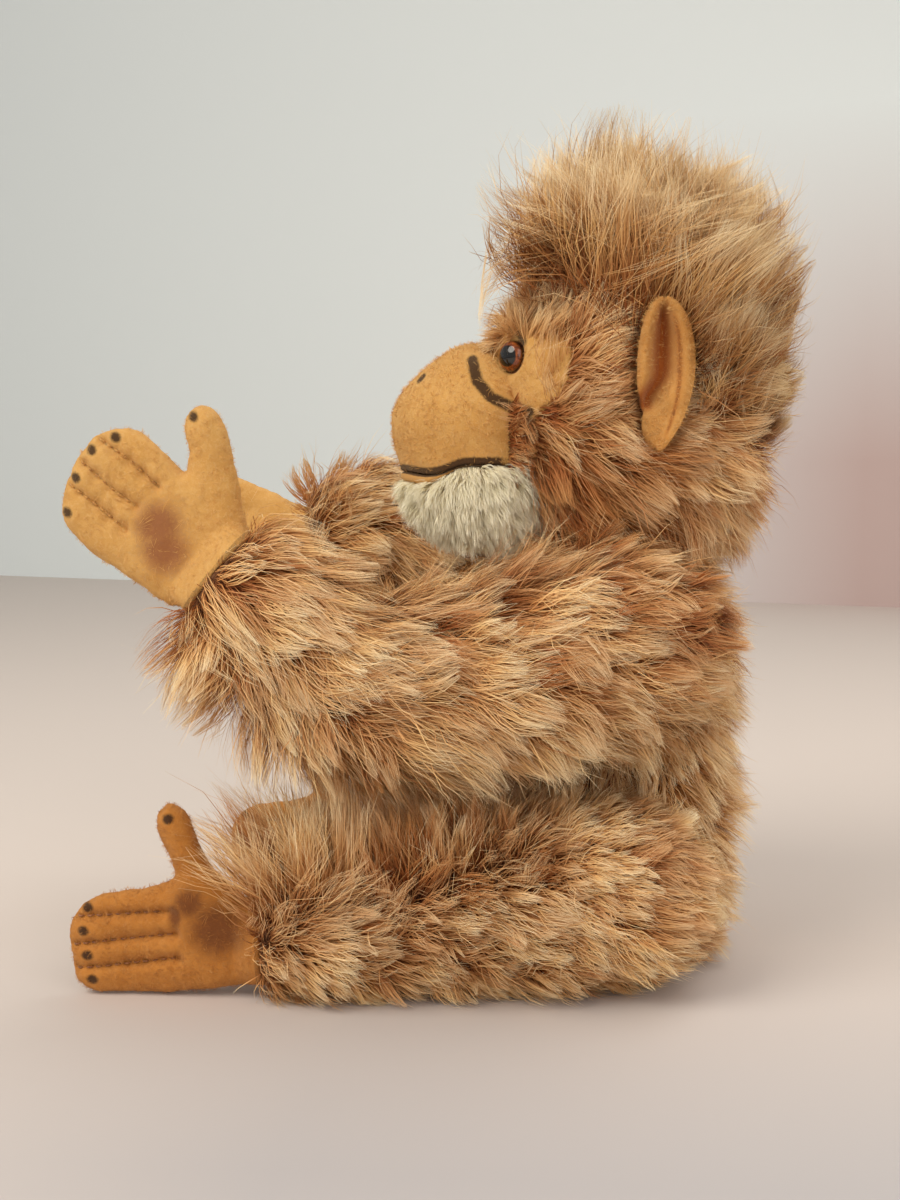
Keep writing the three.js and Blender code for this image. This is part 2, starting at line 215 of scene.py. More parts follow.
def in_scene(name, data):
    """A new object in the scene, for a mesh, a camera or a light."""
    obj = bpy.data.objects.new(name, data)
    bpy.context.scene.collection.objects.link(obj)
    return obj


def mesh_object(name, points, faces):
    """points in millimetres; faces a list of tuples."""
    mesh = bpy.data.meshes.new(name)
    faces = [tuple(int(i) for i in f) for f in faces]
    mesh.from_pydata((np.asarray(points) * MM).tolist(), [], faces)
    mesh.validate()
    mesh.shade_smooth()
    return in_scene(name, mesh)


def faced_outwards(mesh, weld=0.0, cut=None):
    """Turns a mesh's faces outwards, after welding points or cutting at (point, normal)."""
    bm = bmesh.new()
    bm.from_mesh(mesh)
    if weld:
        bmesh.ops.remove_doubles(bm, verts=bm.verts, dist=weld)
    if cut:
        bmesh.ops.bisect_plane(bm, geom=bm.verts[:] + bm.edges[:] + bm.faces[:],
                               plane_co=cut[0], plane_no=cut[1], clear_inner=True)
    bmesh.ops.recalc_face_normals(bm, faces=bm.faces)
    bm.to_mesh(mesh)
    bm.free()


def ring_faces(rings, around):
    """Quads between neighbouring rings of points."""
    faces = []
    for r in range(rings - 1):
        for a in range(around):
            b = (a + 1) % around
            faces.append((r * around + a, r * around + b,
                          (r + 1) * around + b, (r + 1) * around + a))
    return faces


def points_of(obj):
    co = np.zeros(len(obj.data.vertices) * 3)
    obj.data.vertices.foreach_get("co", co)
    return co.reshape(-1, 3) / MM


def move_points(obj, points):
    obj.data.vertices.foreach_set("co", (points * MM).ravel())
    obj.data.update()


def normals_of(obj):
    no = np.zeros(len(obj.data.vertices) * 3)
    obj.data.vertices.foreach_get("normal", no)
    return no.reshape(-1, 3)


def settle(obj):
    """Applies the object's modifiers to its mesh."""
    graph = bpy.context.evaluated_depsgraph_get()
    result = bpy.data.meshes.new_from_object(obj.evaluated_get(graph))
    old = obj.data
    obj.modifiers.clear()
    obj.data = result
    obj.data.name = obj.name
    obj.data.shade_smooth()
    bpy.data.meshes.remove(old)
    return obj


def with_modifier(obj, kind, **settings):
    modifier = obj.modifiers.new(kind, kind)
    for key, value in settings.items():
        setattr(modifier, key, value)
    return settle(obj)


def remeshed(obj, voxel):
    return with_modifier(obj, "REMESH", mode="VOXEL", voxel_size=voxel * MM)


def subdivided(obj):
    return with_modifier(obj, "SUBSURF", levels=1, render_levels=1)


def relaxed(obj, rounds):
    return with_modifier(obj, "SMOOTH", iterations=rounds, factor=0.5)


def waves(points, scale, seed):
    """Soft noise from -1 to 1, from sine waves in fixed random directions."""
    rng = np.random.default_rng(seed)
    total = np.zeros(len(points))
    for octave in range(3):
        for _ in range(5):
            direction = unit(rng.normal(size=3)) * 2 * math.pi / (scale / 2**octave)
            total += np.sin(points @ direction + rng.uniform(0, 2 * math.pi)) / 2**octave
    return total / 4


def inflate(obj, pressure, cap, held):
    """Swells a padded piece as cloth over air. held marks the points that stay where they are."""
    start = points_of(obj)
    group = obj.vertex_groups.new(name="held")
    group.add([int(i) for i in np.nonzero(held)[0]], 1.0, "REPLACE")
    cloth = obj.modifiers.new("Cloth", "CLOTH")
    settings = {
        "quality": 5, "mass": 0.2, "tension_stiffness": 12, "compression_stiffness": 12,
        "shear_stiffness": 4, "bending_stiffness": 0.4, "use_pressure": True,
        "uniform_pressure_force": pressure, "vertex_group_mass": "held",
    }
    for key, value in settings.items():
        setattr(cloth.settings, key, value)
    cloth.settings.effector_weights.gravity = 0
    cloth.point_cache.frame_start = 1
    cloth.point_cache.frame_end = CLOTH_STEPS
    for step in range(1, CLOTH_STEPS + 1):
        bpy.context.scene.frame_set(step)
    settle(obj)
    bpy.context.scene.frame_set(1)
    moved = points_of(obj) - start
    size = np.linalg.norm(moved, axis=1, keepdims=True)
    print(obj.name, "cloth moved", float(size.mean().round(2)), float(size.max().round(2)), "mm")
    move_points(obj, start + moved * np.minimum(1, cap / np.maximum(size, 1e-9)))
    obj.vertex_groups.clear()
    return obj


# ---------- materials ----------


def srgb(r, g, b):
    return tuple(((c / 255 + 0.055) / 1.055) ** 2.4 for c in (r, g, b)) + (1.0,)


def shader(name, roughness, **sockets):
    made = bpy.data.materials.new(name)
    made.use_nodes = True
    bsdf = made.node_tree.nodes["Principled BSDF"]
    bsdf.inputs["Roughness"].default_value = roughness
    for key, value in sockets.items():
        bsdf.inputs[key.replace("_", " ")].default_value = value
    return made, bsdf


def node(made, kind, inputs=(), **settings):
    new = made.node_tree.nodes.new(kind)
    for key, value in settings.items():
        setattr(new, key, value)
    for key, value in dict(inputs).items():
        if isinstance(value, bpy.types.NodeSocket):
            made.node_tree.links.new(value, new.inputs[key])
        else:
            new.inputs[key].default_value = value
    return new


def mixed(made, factor, a, b):
    new = node(made, "ShaderNodeMix", {0: factor, 6: a, 7: b}, data_type="RGBA")
    return new.outputs[2]


def ramp(made, factor, stops):
    new = node(made, "ShaderNodeValToRGB", {0: factor})
    new.color_ramp.elements[0].position = stops[0][0]
    new.color_ramp.elements[0].color = stops[0][1]
    new.color_ramp.elements[1].position = stops[-1][0]
    new.color_ramp.elements[1].color = stops[-1][1]
    for position, color in stops[1:-1]:
        new.color_ramp.elements.new(position).color = color
    return new.outputs[0]


def scaled(made, value, a, b, low=0.0, high=1.0):
    new = node(made, "ShaderNodeMapRange", {0: value, 1: a, 2: b, 3: low, 4: high})
    return new.outputs[0]


def noise(made, scale, detail=3.0, roughness=0.55, distortion=0.0):
    place = made.node_tree.nodes.get("place") or node(made, "ShaderNodeTexCoord", name="place")
    new = node(made, "ShaderNodeTexNoise", {
        "Vector": place.outputs["Object"], "Scale": scale, "Detail": detail, "Roughness": roughness,
        "Distortion": distortion,
    })
    return new.outputs["Fac"]


def coloured(made, bsdf, colour):
    made.node_tree.links.new(colour, bsdf.inputs["Base Color"])


def bump(made, bsdf, height, distance, strength):
    new = node(made, "ShaderNodeBump", {"Height": height, "Distance": distance, "Strength": strength})
    made.node_tree.links.new(new.outputs[0], bsdf.inputs["Normal"])


def fur_material(name, dark, light, roughness=0.5):
    """Colour runs from root to tip along v, between a dark and a light lock along u."""
    made, bsdf = shader(
        name, roughness, Sheen_Weight=0.18, Sheen_Roughness=0.35, Specular_IOR_Level=0.4,
        Sheen_Tint=(1.0, 0.76, 0.48, 1.0), Specular_Tint=(1.0, 0.88, 0.7, 1.0))
    uv = node(made, "ShaderNodeUVMap", uv_map="OFBake")
    split = node(made, "ShaderNodeSeparateXYZ", {0: uv.outputs[0]})
    steps = (0.0, 0.3, 0.65, 1.0)
    low = ramp(made, split.outputs[1], [(s, srgb(*c)) for s, c in zip(steps, dark)])
    high = ramp(made, split.outputs[1], [(s, srgb(*c)) for s, c in zip(steps, light)])
    coloured(made, bsdf, mixed(made, split.outputs[0], low, high))
    return made


def felt_material(name, base, deep, pale, spray_and_shade_colour=(144, 86, 58)):
    """Pressed wool: fine matted fibres, with ink and blush sprayed on where the mesh says so. The same two
    layers also carry painted shade, in the ears' folds and at the mitts' cuffs.
    """
    made, bsdf = shader(name, 0.95, Sheen_Weight=0.22, Sheen_Roughness=0.5, Specular_IOR_Level=0.12,
                        Sheen_Tint=(1.0, 0.8, 0.52, 1.0))
    cloud = noise(made, 90.0, 3.0)
    fibre = noise(made, 2400.0, 4.0, 0.7, 2.2)
    clump = noise(made, 850.0, 3.0, 0.6, 1.2)
    colour = mixed(made, scaled(made, cloud, 0.35, 0.65, 0.0, 0.5), srgb(*base), srgb(*deep))
    colour = mixed(made, scaled(made, clump, 0.48, 0.74, 0.0, 0.6), colour, srgb(*pale))
    colour = mixed(made, scaled(made, fibre, 0.4, 0.6, 0.32, 0.0), colour, srgb(*deep))
    blush_and_shade = node(made, "ShaderNodeAttribute", attribute_name="blush_and_shade").outputs["Fac"]
    ink_and_shade = node(made, "ShaderNodeAttribute", attribute_name="ink_and_shade").outputs["Fac"]
    grain = node(made, "ShaderNodeMath", {0: fibre, 1: clump}, operation="ADD").outputs[0]
    speckle = scaled(made, grain, 0.75, 1.25, -0.2, 0.2)
    # The blush and ink layers mixed in below also lay painted shade into the ear folds and the mitt cuffs.
    spray_and_shade_amount = node(made, "ShaderNodeMath", {0: blush_and_shade, 1: speckle}, operation="ADD").outputs[0]
    colour = mixed(made, scaled(made, spray_and_shade_amount, 0.08, 0.95, 0.0, 0.85), colour, srgb(*spray_and_shade_colour))
    ink_and_shade_amount = node(made, "ShaderNodeMath", {0: ink_and_shade, 1: speckle}, operation="ADD").outputs[0]
    colour = mixed(made, scaled(made, ink_and_shade_amount, 0.2, 0.8, 0.0, 0.93), colour, srgb(48, 29, 23))
    coloured(made, bsdf, colour)
    bump(made, bsdf, grain, 0.0004, 0.7)
    return made


def backing_material():
    """Woven ground of the mohair, seen only between the locks."""
    made, bsdf = shader("mohair_ground", 0.95, Specular_IOR_Level=0.1)
    threads = noise(made, 900.0, 2.0)
    cloud = noise(made, 90.0, 3.0)
    colour = mixed(made, scaled(made, cloud, 0.3, 0.7), srgb(88, 56, 38), srgb(126, 86, 58))
    colour = mixed(made, scaled(made, threads, 0.4, 0.7, 0.0, 0.5), colour, srgb(60, 38, 26))
    coloured(made, bsdf, colour)
    bump(made, bsdf, threads, 0.0005, 0.7)
    return made


def thread_material(name, colour, other):
    made, bsdf = shader(name, 0.55, Sheen_Weight=0.2)
    twist = noise(made, 1300.0, 2.0)
    colour = mixed(made, scaled(made, twist, 0.35, 0.65), srgb(*colour), srgb(*other))
    coloured(made, bsdf, colour)
    bump(made, bsdf, twist, 0.0002, 0.5)
    return made


def simple_material(name, a, b, scale, roughness, distance, metallic=0.0):
    made, bsdf = shader(name, roughness, Metallic=metallic)
    grain = noise(made, scale, 4.0, 0.6, 0.4)
    colour = mixed(made, scaled(made, grain, 0.3, 0.7), srgb(*a), srgb(*b))
    coloured(made, bsdf, colour)
    bump(made, bsdf, grain, distance, 0.5)
    return made


BROWN_LOCK = [(82, 34, 13), (142, 72, 32), (180, 108, 54), (216, 158, 94)]
BLOND_LOCK = [(138, 72, 32), (216, 152, 88), (244, 205, 142), (255, 242, 204)]
MOHAIR = fur_material("mohair_pile", BROWN_LOCK, BLOND_LOCK)
CROWN_MOHAIR = fur_material(
    "crown_pile",
    [(70, 28, 9), (120, 58, 20), (164, 100, 46), (230, 200, 144)],
    [(104, 50, 18), (170, 102, 46), (226, 182, 116), (254, 243, 208)])
BROW_PILE = fur_material(
    "brow_pile",
    [(186, 124, 64), (204, 146, 86), (220, 172, 112), (236, 200, 146)],
    [(212, 158, 94), (230, 184, 122), (243, 212, 158), (250, 230, 190)])
CHIN_PILE = fur_material(
    "chin_pile",
    [(244, 228, 184), (248, 235, 196), (251, 242, 208), (253, 247, 220)],
    [(249, 238, 200), (252, 244, 212), (254, 249, 222), (255, 251, 232)], 0.42)
FELT_FUZZ = fur_material(
    "felt_fuzz",
    [(198, 142, 70), (208, 154, 82), (216, 164, 94), (224, 176, 108)],
    [(214, 162, 90), (222, 174, 104), (230, 188, 120), (238, 202, 140)], 0.6)
FOOT_FUZZ = fur_material(
    "foot_fuzz",
    [(162, 100, 42), (174, 112, 50), (184, 122, 60), (196, 136, 72)],
    [(180, 120, 56), (192, 132, 68), (204, 146, 82), (214, 160, 96)], 0.6)
FELT = felt_material("wool_felt", (221, 172, 101), (202, 146, 72), (236, 199, 136))
FOOT_FELT = felt_material(
    "wool_felt_feet", (198, 132, 62), (172, 106, 42), (216, 156, 86), (104, 56, 32))
# The ears' last colour serves their airbrushed line and the painted shade in their folds.
EAR_FELT = felt_material(
    "wool_felt_ears", (218, 162, 92), (198, 134, 62), (232, 188, 124), (164, 74, 20))
BACKING = backing_material()
THREAD = thread_material("golden_thread", (212, 160, 78), (164, 110, 46))
FOOT_THREAD = thread_material("brown_thread", (156, 98, 48), (122, 72, 34))

# ---------- fur ----------

PIECE_QUADS = 98000  # the most quads that one piece of fur holds; keeps a piece's mesh below what is thinned on export
LOOSE = 0.12  # share of strands that stray from their lock
LOCK_TURN, WISP_TURN, STRAND_TURN = 0.30, 0.26, 0.13  # how far each leans off the comb
LOW = np.array(CAD_BOX[0]) / MM
HIGH = np.array(CAD_BOX[1]) / MM
PROUD = 0.028 * (HIGH - LOW) + 9.0
FLOOR_CLEAR = 0.35
EASE = 9.0  # stretch over which fur bends to stay within PROUD


def eased(values, limit):
    """The values, bent softly where they near the limit, so that fur has no cut edge there."""
    past = np.maximum(values - (limit - EASE), 0)
    return np.where(past > 0, limit - EASE * np.exp(-past / EASE), values)


def nearest(points, centres):
    tree = KDTree(len(centres))
    for i, c in enumerate(centres):
        tree.insert(c, i)
    tree.balance()
    return np.array([tree.find(p)[1] for p in points])


def roots_on(obj, count, rng, density):
    """Points and normals spread over the mesh by area, kept by the chance that density gives."""
    mesh = obj.data
    mesh.calc_loop_triangles()
    tris = np.zeros(len(mesh.loop_triangles) * 3, int)
    mesh.loop_triangles.foreach_get("vertices", tris)
    tris = tris.reshape(-1, 3)
    co, no = points_of(obj), normals_of(obj)
    a, b, c = (co[tris[:, i]] for i in range(3))
    area = np.linalg.norm(np.cross(b - a, c - a), axis=1)
    found_p, found_n, have = [], [], 0
    for _ in range(12):
        pick = rng.choice(len(tris), size=count * 2, p=area / area.sum())
        r1, r2 = np.sqrt(rng.random(len(pick))), rng.random(len(pick))
        w = np.stack([1 - r1, r1 * (1 - r2), r1 * r2], 1)[:, :, None]
        p = (co[tris[pick]] * w).sum(1)
        n = unit((no[tris[pick]] * w).sum(1))
        keep = rng.random(len(pick)) < density(p, n)
        found_p.append(p[keep])
        found_n.append(n[keep])
        have += keep.sum()
        if have >= count:
            break
    p, n = np.concatenate(found_p)[:count], np.concatenate(found_n)[:count]
    return p, n


def combed(p, n, look, jitter, rng, wave, segments):
    """The centre lines of the strands: segments + 1 points each."""
    flow = look["flow"] - n * (look["flow"] * n).sum(1, keepdims=True)
    flow = flow / np.maximum(np.linalg.norm(look["flow"], axis=1, keepdims=True), 1e-9)
    lift0, lift1 = look["lift0"][:, None], look["lift1"][:, None]
    start = unit(n * lift0 + flow * (1 - lift0) + jitter * 0.6)
    end = unit(n * lift1 + flow * (1 - lift1) + jitter - UP * look["droop"][:, None])
    side = unit(np.cross(start, end) + rng.normal(size=p.shape) * 0.2)
    phase = rng.uniform(0, 2 * math.pi, len(p))
    out = [p]
    for k in range(segments):
        t = (k + 0.6) / segments
        step = unit(start * (1 - t) + end * t + side * (wave * np.cos(phase + 5.5 * t))[:, None])
        out.append(out[-1] + step * (look["length"] / segments)[:, None])
    return np.stack(out, 1)


def grow(name, body, obj, count, style, density, material, seed, locks=(60, 9), messy=0.5,
         shape=None, segments=5, tight=0.7, curl=(0.05, 0.3), contrast=0.17):
    """Grows fur on a mesh, gathered in locks of about locks[0] strands and wisps of locks[1].

    style gives each strand's flow, length, lift, droop, lock, tone and width, as arrays or as one
    number for all, and density gives the chance that a strand is kept.
    """
    rng = np.random.default_rng(seed)
    p, n = roots_on(obj, count, rng, density)
    count = len(p)
    look = {key: value + np.zeros_like(p if key == "flow" else p[:, 0])
            for key, value in style(p, n).items()}
    big_at = rng.choice(count, max(count // locks[0], 2), replace=False)
    small_at = rng.choice(count, max(count // locks[1], 2), replace=False)
    big, small = nearest(p, p[big_at]), nearest(p, p[small_at])
    big_turn = rng.normal(size=(len(big_at), 3)) * messy * LOCK_TURN
    big_size = rng.uniform(0.84, 1.06, len(big_at))
    small_turn = rng.normal(size=(len(small_at), 3)) * messy * WISP_TURN
    own_turn = rng.normal(size=(count, 3)) * messy * STRAND_TURN
    small_size = rng.uniform(0.78, 1.08, len(small_at))
    look["length"] = look["length"] * big_size[big] * small_size[small] * rng.uniform(0.88, 1.08, count)
    wave = rng.uniform(*curl, len(small_at))[small]
    stray = rng.random(count) < LOOSE
    own_turn[stray] *= 2.0
    look["length"][stray] *= 1.08
    lines = combed(p, n, look, big_turn[big] + small_turn[small] + own_turn, rng, wave, segments)
    along = np.linspace(0, 1, segments + 1)[None, :, None]
    bound = np.where(stray, 0.1, 1.0)[:, None, None]
    to_big = lines[big_at][big] - lines
    lines = lines + to_big * (look["lock"][:, None, None] * bound * 0.5 * along**1.8)
    pull = rng.uniform(tight - 0.45, tight + 0.12, len(small_at))[small][:, None, None]
    lines = lines + (lines[small_at][small] - lines) * (pull * bound * along**1.2)
    if shape is not None:
        flat = lines.reshape(-1, 3)
        lines = shape(flat).reshape(lines.shape)
    lines = eased(lines, HIGH + PROUD)
    lines[..., :2] = -eased(-lines[..., :2], (PROUD - LOW)[:2])
    ground = FLOOR_CLEAR + rng.uniform(0, 1.6, count)[:, None] * along[..., 0]
    lines[..., 2] = np.maximum(lines[..., 2], ground)
    tone = look["tone"] + rng.normal(size=len(big_at))[big] * contrast
    tone = tone + rng.normal(size=len(small_at))[small] * 0.15 + rng.normal(size=count) * 0.1
    tone = np.clip(tone, 0.02, 0.98)
    width = look["width"] * rng.uniform(0.8, 1.2, count)
    parts = math.ceil(count * segments / PIECE_QUADS)
    made = []
    for i in range(parts):
        label = name if parts == 1 else f"{name}_{i + 1}"
        made.append(ribbons(label, lines[i::parts], n[i::parts], width[i::parts], tone[i::parts], rng))
        made[-1].data.materials.append(material)
        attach(made[-1], body)
    return made


def ribbons(name, lines, normals, width, tone, rng):
    """A tapering ribbon along each line, with its u, v in the layer OFBake."""
    count, knots = lines.shape[:2]
    tangent = unit(np.gradient(lines, axis=1))
    across = unit(np.cross(tangent, normals[:, None, :]) + 1e-6)
    lift = unit(np.cross(across, tangent))
    turn = rng.uniform(-0.45, 0.45, count)[:, None, None]
    across = across * np.cos(turn) + lift * np.sin(turn)
    along = np.linspace(0, 1, knots)
    taper = (0.75 + 0.25 * np.sin(math.pi * along**0.7)) * (1 - 0.86 * along**2.2)
    half = across * (width[:, None] * taper[None, :] / 2)[..., None]
    both = np.stack([lines - half, lines + half], 2).reshape(-1, 3)
    first = (np.arange(count) * knots * 2)[:, None] + (np.arange(knots - 1) * 2)[None, :]
    quads = np.stack([first, first + 1, first + 3, first + 2], 2).reshape(-1, 4)
    mesh = bpy.data.meshes.new(name)
    mesh.vertices.add(len(both))
    mesh.vertices.foreach_set("co", (both * MM).ravel())
    mesh.loops.add(quads.size)
    mesh.loops.foreach_set("vertex_index", quads.ravel())
    mesh.polygons.add(len(quads))
    mesh.polygons.foreach_set("loop_start", np.arange(0, quads.size, 4))
    mesh.polygons.foreach_set("loop_total", np.full(len(quads), 4))
    mesh.update(calc_edges=True)
    layer = mesh.uv_layers.new(name="OFBake")
    u = np.repeat(tone, knots * 2)
    v = np.tile(np.repeat(along * 0.98 + 0.01, 2), count)
    layer.data.foreach_set("uv", np.stack([u, v], 1)[quads.ravel()].ravel())
    mesh.shade_smooth()
    return in_scene(name, mesh)


# ---------- trunk ----------


def cad_copy(name, *nodes):
    """The CAD solids of these nodes, joined into a new mesh object."""
    joined = bmesh.new()
    for n in nodes:
        joined.from_mesh(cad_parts[n].data)
    mesh = bpy.data.meshes.new(name)
    joined.to_mesh(mesh)
    joined.free()
    return in_scene(name, mesh)


def near_joint(p, joint):
    """True beside a limb's joint, where two flat sides face each other."""
    x, y, z = joint
    return (np.abs(np.abs(p[:, 0]) - x) < 2.0) & (np.hypot(p[:, 1] - y, p[:, 2] - z) < DISC_RADIUS)


def build_trunk():
    torso = cad_copy("torso", "torso_cover", "torso_stuffing")
    remeshed(torso, 3.6)
    relaxed(torso, 6)
    p = points_of(torso)
    held = (np.abs(p[:, 0]) > 28.6) | (p[:, 2] < 1.5) | (p[:, 2] > 143)
    inflate(torso, 4.0, 3.0, held)
    subdivided(torso)
    p, n = points_of(torso), normals_of(torso)
    move_points(torso, p + n * (waves(p, 42, 3) * 0.8 * (np.abs(p[:, 0]) < 27))[:, None])
    p = points_of(torso)
    p[:, 2] = np.clip(p[:, 2], 0.2, 145)
    move_points(torso, p)
    torso.data.materials.append(BACKING)
    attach(torso, "trunk")
    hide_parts("torso_cover", "torso_stuffing")

    def style(p, n):
        rear = smooth(-10, 25, p[:, 1])
        top = smooth(105, 140, p[:, 2])
        flow = -UP[None] * (0.9 - 0.2 * top)[:, None] + BACK * (0.3 * rear)[:, None]
        return {
            "flow": flow,
            "length": mix(mix(13.0, 20.0, rear), 17.0, top) * (1 - 0.35 * smooth(14, 2, p[:, 2])),
            "lift0": mix(0.55, 0.72, rear),
            "lift1": mix(0.24, 0.42, rear),
            "droop": 0.12,
            "lock": 0.5,
            "tone": mix(0.45, 0.78, rear) - 0.1 * top,
            "width": 0.3,
        }

    def density(p, n):
        keep = np.where(near_joint(p, SHOULDER) | near_joint(p, HIP), 0.0, 1.0)
        keep *= p[:, 2] > 1.5
        return keep * np.where((p[:, 2] > 142) & (np.hypot(p[:, 0], p[:, 1]) < 16), 0.0, 1.0)

    grow("torso_fur", "trunk", torso, 46000, style, density, MOHAIR, 11, messy=0.7, segments=4)


# ---------- limbs ----------


class Path:
    """A limb's centre line, mirrored for the right side."""

    def __init__(self, limb, side):
        self.points = spline(LIMBS[limb][side], 161)
        self.points[:, 0] *= SIDES[side]
        steps = np.linalg.norm(np.diff(self.points, axis=0), axis=1)
        self.at = np.concatenate([[0], np.cumsum(steps)])
        self.length = self.at[-1]
        self.tangents = unit(np.gradient(self.points, axis=0))

    def place(self, along):
        share = np.clip(along, 0, self.length)
        point = np.stack([np.interp(share, self.at, self.points[:, i]) for i in range(3)], -1)
        tangent = unit(np.stack([np.interp(share, self.at, self.tangents[:, i]) for i in range(3)], -1))
        return point + tangent * (along - share)[..., None], tangent

    def nearest(self, p):
        best = np.full(len(p), 1e9)
        index = np.zeros(len(p), int)
        for i in range(0, len(self.points), 2):
            d = np.linalg.norm(p - self.points[i], axis=1)
            closer = d < best
            best[closer], index[closer] = d[closer], i
        return self.at[index], self.tangents[index]


def limb_skin(name, kind, side, path):
    limb = LIMBS[kind]
    around, rows = 56, 70
    angles = np.linspace(0, 2 * math.pi, around, endpoint=False)
    alongs, radii = [], []
    for a in np.linspace(math.pi / 2, 0.1, 12):
        alongs.append(-limb["root"] * math.sin(a))
        radii.append(limb["root"] * math.cos(a))
    knots = np.linspace(0, 1, len(limb["radii"]))
    for s in np.linspace(0, 1, rows):
        alongs.append(s * path.length)
        radii.append(np.interp(s, knots, limb["radii"]))
    radii[-1] *= 0.97
    centres, tangents = path.place(np.array(alongs))
    across = unit(np.array([1.0, 0, 0]) - tangents * tangents[:, :1])
    upward = np.cross(across, tangents)
    share = np.clip(np.array(alongs) / path.length, 0, 1)
    width = mix(limb["width"], 1.0, share)
    radii = np.array(radii)
    sideways = np.cos(angles)[None] * (radii * width)[:, None]
    upwards = np.sin(angles)[None] * radii[:, None]
    rings = (centres[:, None] + across[:, None] * sideways[..., None]
             + upward[:, None] * upwards[..., None])
    points = rings.reshape(-1, 3)
    sign = SIDES[side]
    points[:, 0] = sign * np.maximum(points[:, 0] * sign, LIMB_FLAT)
    faces = ring_faces(len(alongs), around)
    last = (len(alongs) - 1) * around
    faces.append(tuple(range(last, last + around)))
    obj = mesh_object(name, points, faces)
    faced_outwards(obj.data, weld=1e-6)
    return obj


def build_limb(kind, side):
    limb, sign = LIMBS[kind], SIDES[side]
    path = Path(kind, side)
    body = f"{kind}_{side}"
    skin = limb_skin(body, kind, side, path)
    remeshed(skin, 3.2)
    relaxed(skin, 4)
    p = points_of(skin)
    along, _ = path.nearest(p)
    held = (p[:, 0] * sign < LIMB_FLAT + 1.5) | (along > path.length - 6)
    inflate(skin, 4.0, 1.8, held)
    subdivided(skin)
    p, n = points_of(skin), normals_of(skin)
    loose = (p[:, 0] * sign > LIMB_FLAT + 3) & (path.nearest(p)[0] < path.length - 8)
    p = p + n * (waves(p, 30, 5 + sign) * 0.7 * loose)[:, None]
    p[:, 2] = np.maximum(p[:, 2], 0.3)
    move_points(skin, p)
    skin.data.materials.append(BACKING)
    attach(skin, body)
    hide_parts(f"{kind}_cover_{side}", f"{kind}_stuffing_{side}")

    def arm_style(p, n):
        along, tangent = path.nearest(p)
        share = along / path.length
        under = smooth(0.1, -0.7, n[:, 2])
        fore = smooth(0.45, 0.75, share)
        elbow = np.exp(-((share - 0.66) / 0.13) ** 2) * smooth(0.2, -0.5, n[:, 2] + n[:, 1] * 0.6)
        flow = -tangent * 0.7 + BACK * 0.6 - UP * (0.18 + 0.35 * elbow)[:, None]
        cuff = smooth(0.9, 1.0, share)
        wrist = smooth(0.7, 0.88, share) * smooth(0.2, 0.8, -n[:, 2] - 0.5 * n[:, 1])
        return {
            "flow": flow,
            "length": mix(28.0, 30.0, under) * (1 - 0.25 * smooth(0.3, 0.0, share)) * (1 - 0.2 * cuff),
            "lift0": mix(mix(0.48, 0.56, fore), 0.95, wrist),
            "lift1": mix(mix(0.08, 0.14, fore) + 0.25 * elbow, 0.72, wrist),
            "droop": (0.1 + 0.35 * under * (1 - 0.3 * fore) + 0.25 * elbow) * (1 - 0.7 * wrist),
            "lock": 1.1,
            "tone": (0.64 + 0.12 * fore - 0.12 * smooth(0.3, 0.05, share) + 0.16 * under
                     - 0.3 * elbow - 0.2 * wrist + waves(p, 26, 21) * 0.26),
            "width": 0.3,
        }

    def leg_style(p, n):
        along, tangent = path.nearest(p)
        share = along / path.length
        above = smooth(-0.15, 0.9, n[:, 2]) * smooth(0.1, 0.4, share)
        ankle = smooth(0.58, 0.97, share)
        fluff = ankle * smooth(0.5, 0.95, n[:, 2])
        return {
            "flow": (tangent * (1.6 * fluff - 0.8)[:, None] + BACK * (0.3 * (1 - fluff))[:, None]
                     - UP * (0.25 * (1 - above))[:, None]),
            "length": ((mix(16.0, 31.0, above) + 17 * fluff)
                       * (1 - 0.2 * smooth(0.85, 1.0, share) * (1 - above))),
            "lift0": mix(0.55, 0.95, above),
            "lift1": mix(0.2, 0.76, above) - 0.1 * fluff,
            "droop": 0.12 * (1 - above),
            "lock": mix(0.7, 0.3, fluff),
            "tone": mix(0.72, 0.34, above) + 0.3 * fluff + waves(p, 24, 22) * 0.2,
            "width": 0.3 + 0.06 * fluff,
        }

    def density(p, n):
        keep = np.where(near_joint(p, limb["joint"]), 0.0, 1.0)
        along, _ = path.nearest(p)
        cap = (n * path.tangents[-1]).sum(1) > 0.8
        crest = 1.0
        if kind == "leg":
            ankle = smooth(0.65, 0.9, along / path.length)
            crest = (0.6 + 0.4 * smooth(-0.2, 0.5, n[:, 2])) * mix(0.7, 1.0, ankle)
        return keep * crest * np.where(cap & (along > path.length - 5), 0.0, 1.0) * (p[:, 2] > 0.6)

    style = arm_style if kind == "arm" else leg_style
    count, seed = LIMB_FUR[kind]
    grow(f"{body}_fur", body, skin, count, style, density, MOHAIR, seed + 3 * sign,
         locks=(110, 12), messy=0.66, segments=4, curl=(0.15, 0.5), contrast=0.22)
    build_mitt(kind, side, body)


# ---------- hands and feet ----------


def mitt_frame(kind, side):
    """Cuff centre and the mitt's own u, v and thickness directions."""
    before, end = (np.array(q, float) for q in LIMBS[kind][side][-2:])
    out = unit(end - before)
    across = unit(np.array([1.0, 0, 0]) - out * out[0])
    upward = -np.cross(across, out)
    axes = np.array([out, upward, np.cross(out, upward)])
    flip = np.array([SIDES[side], 1, 1])
    return end * flip, axes * flip


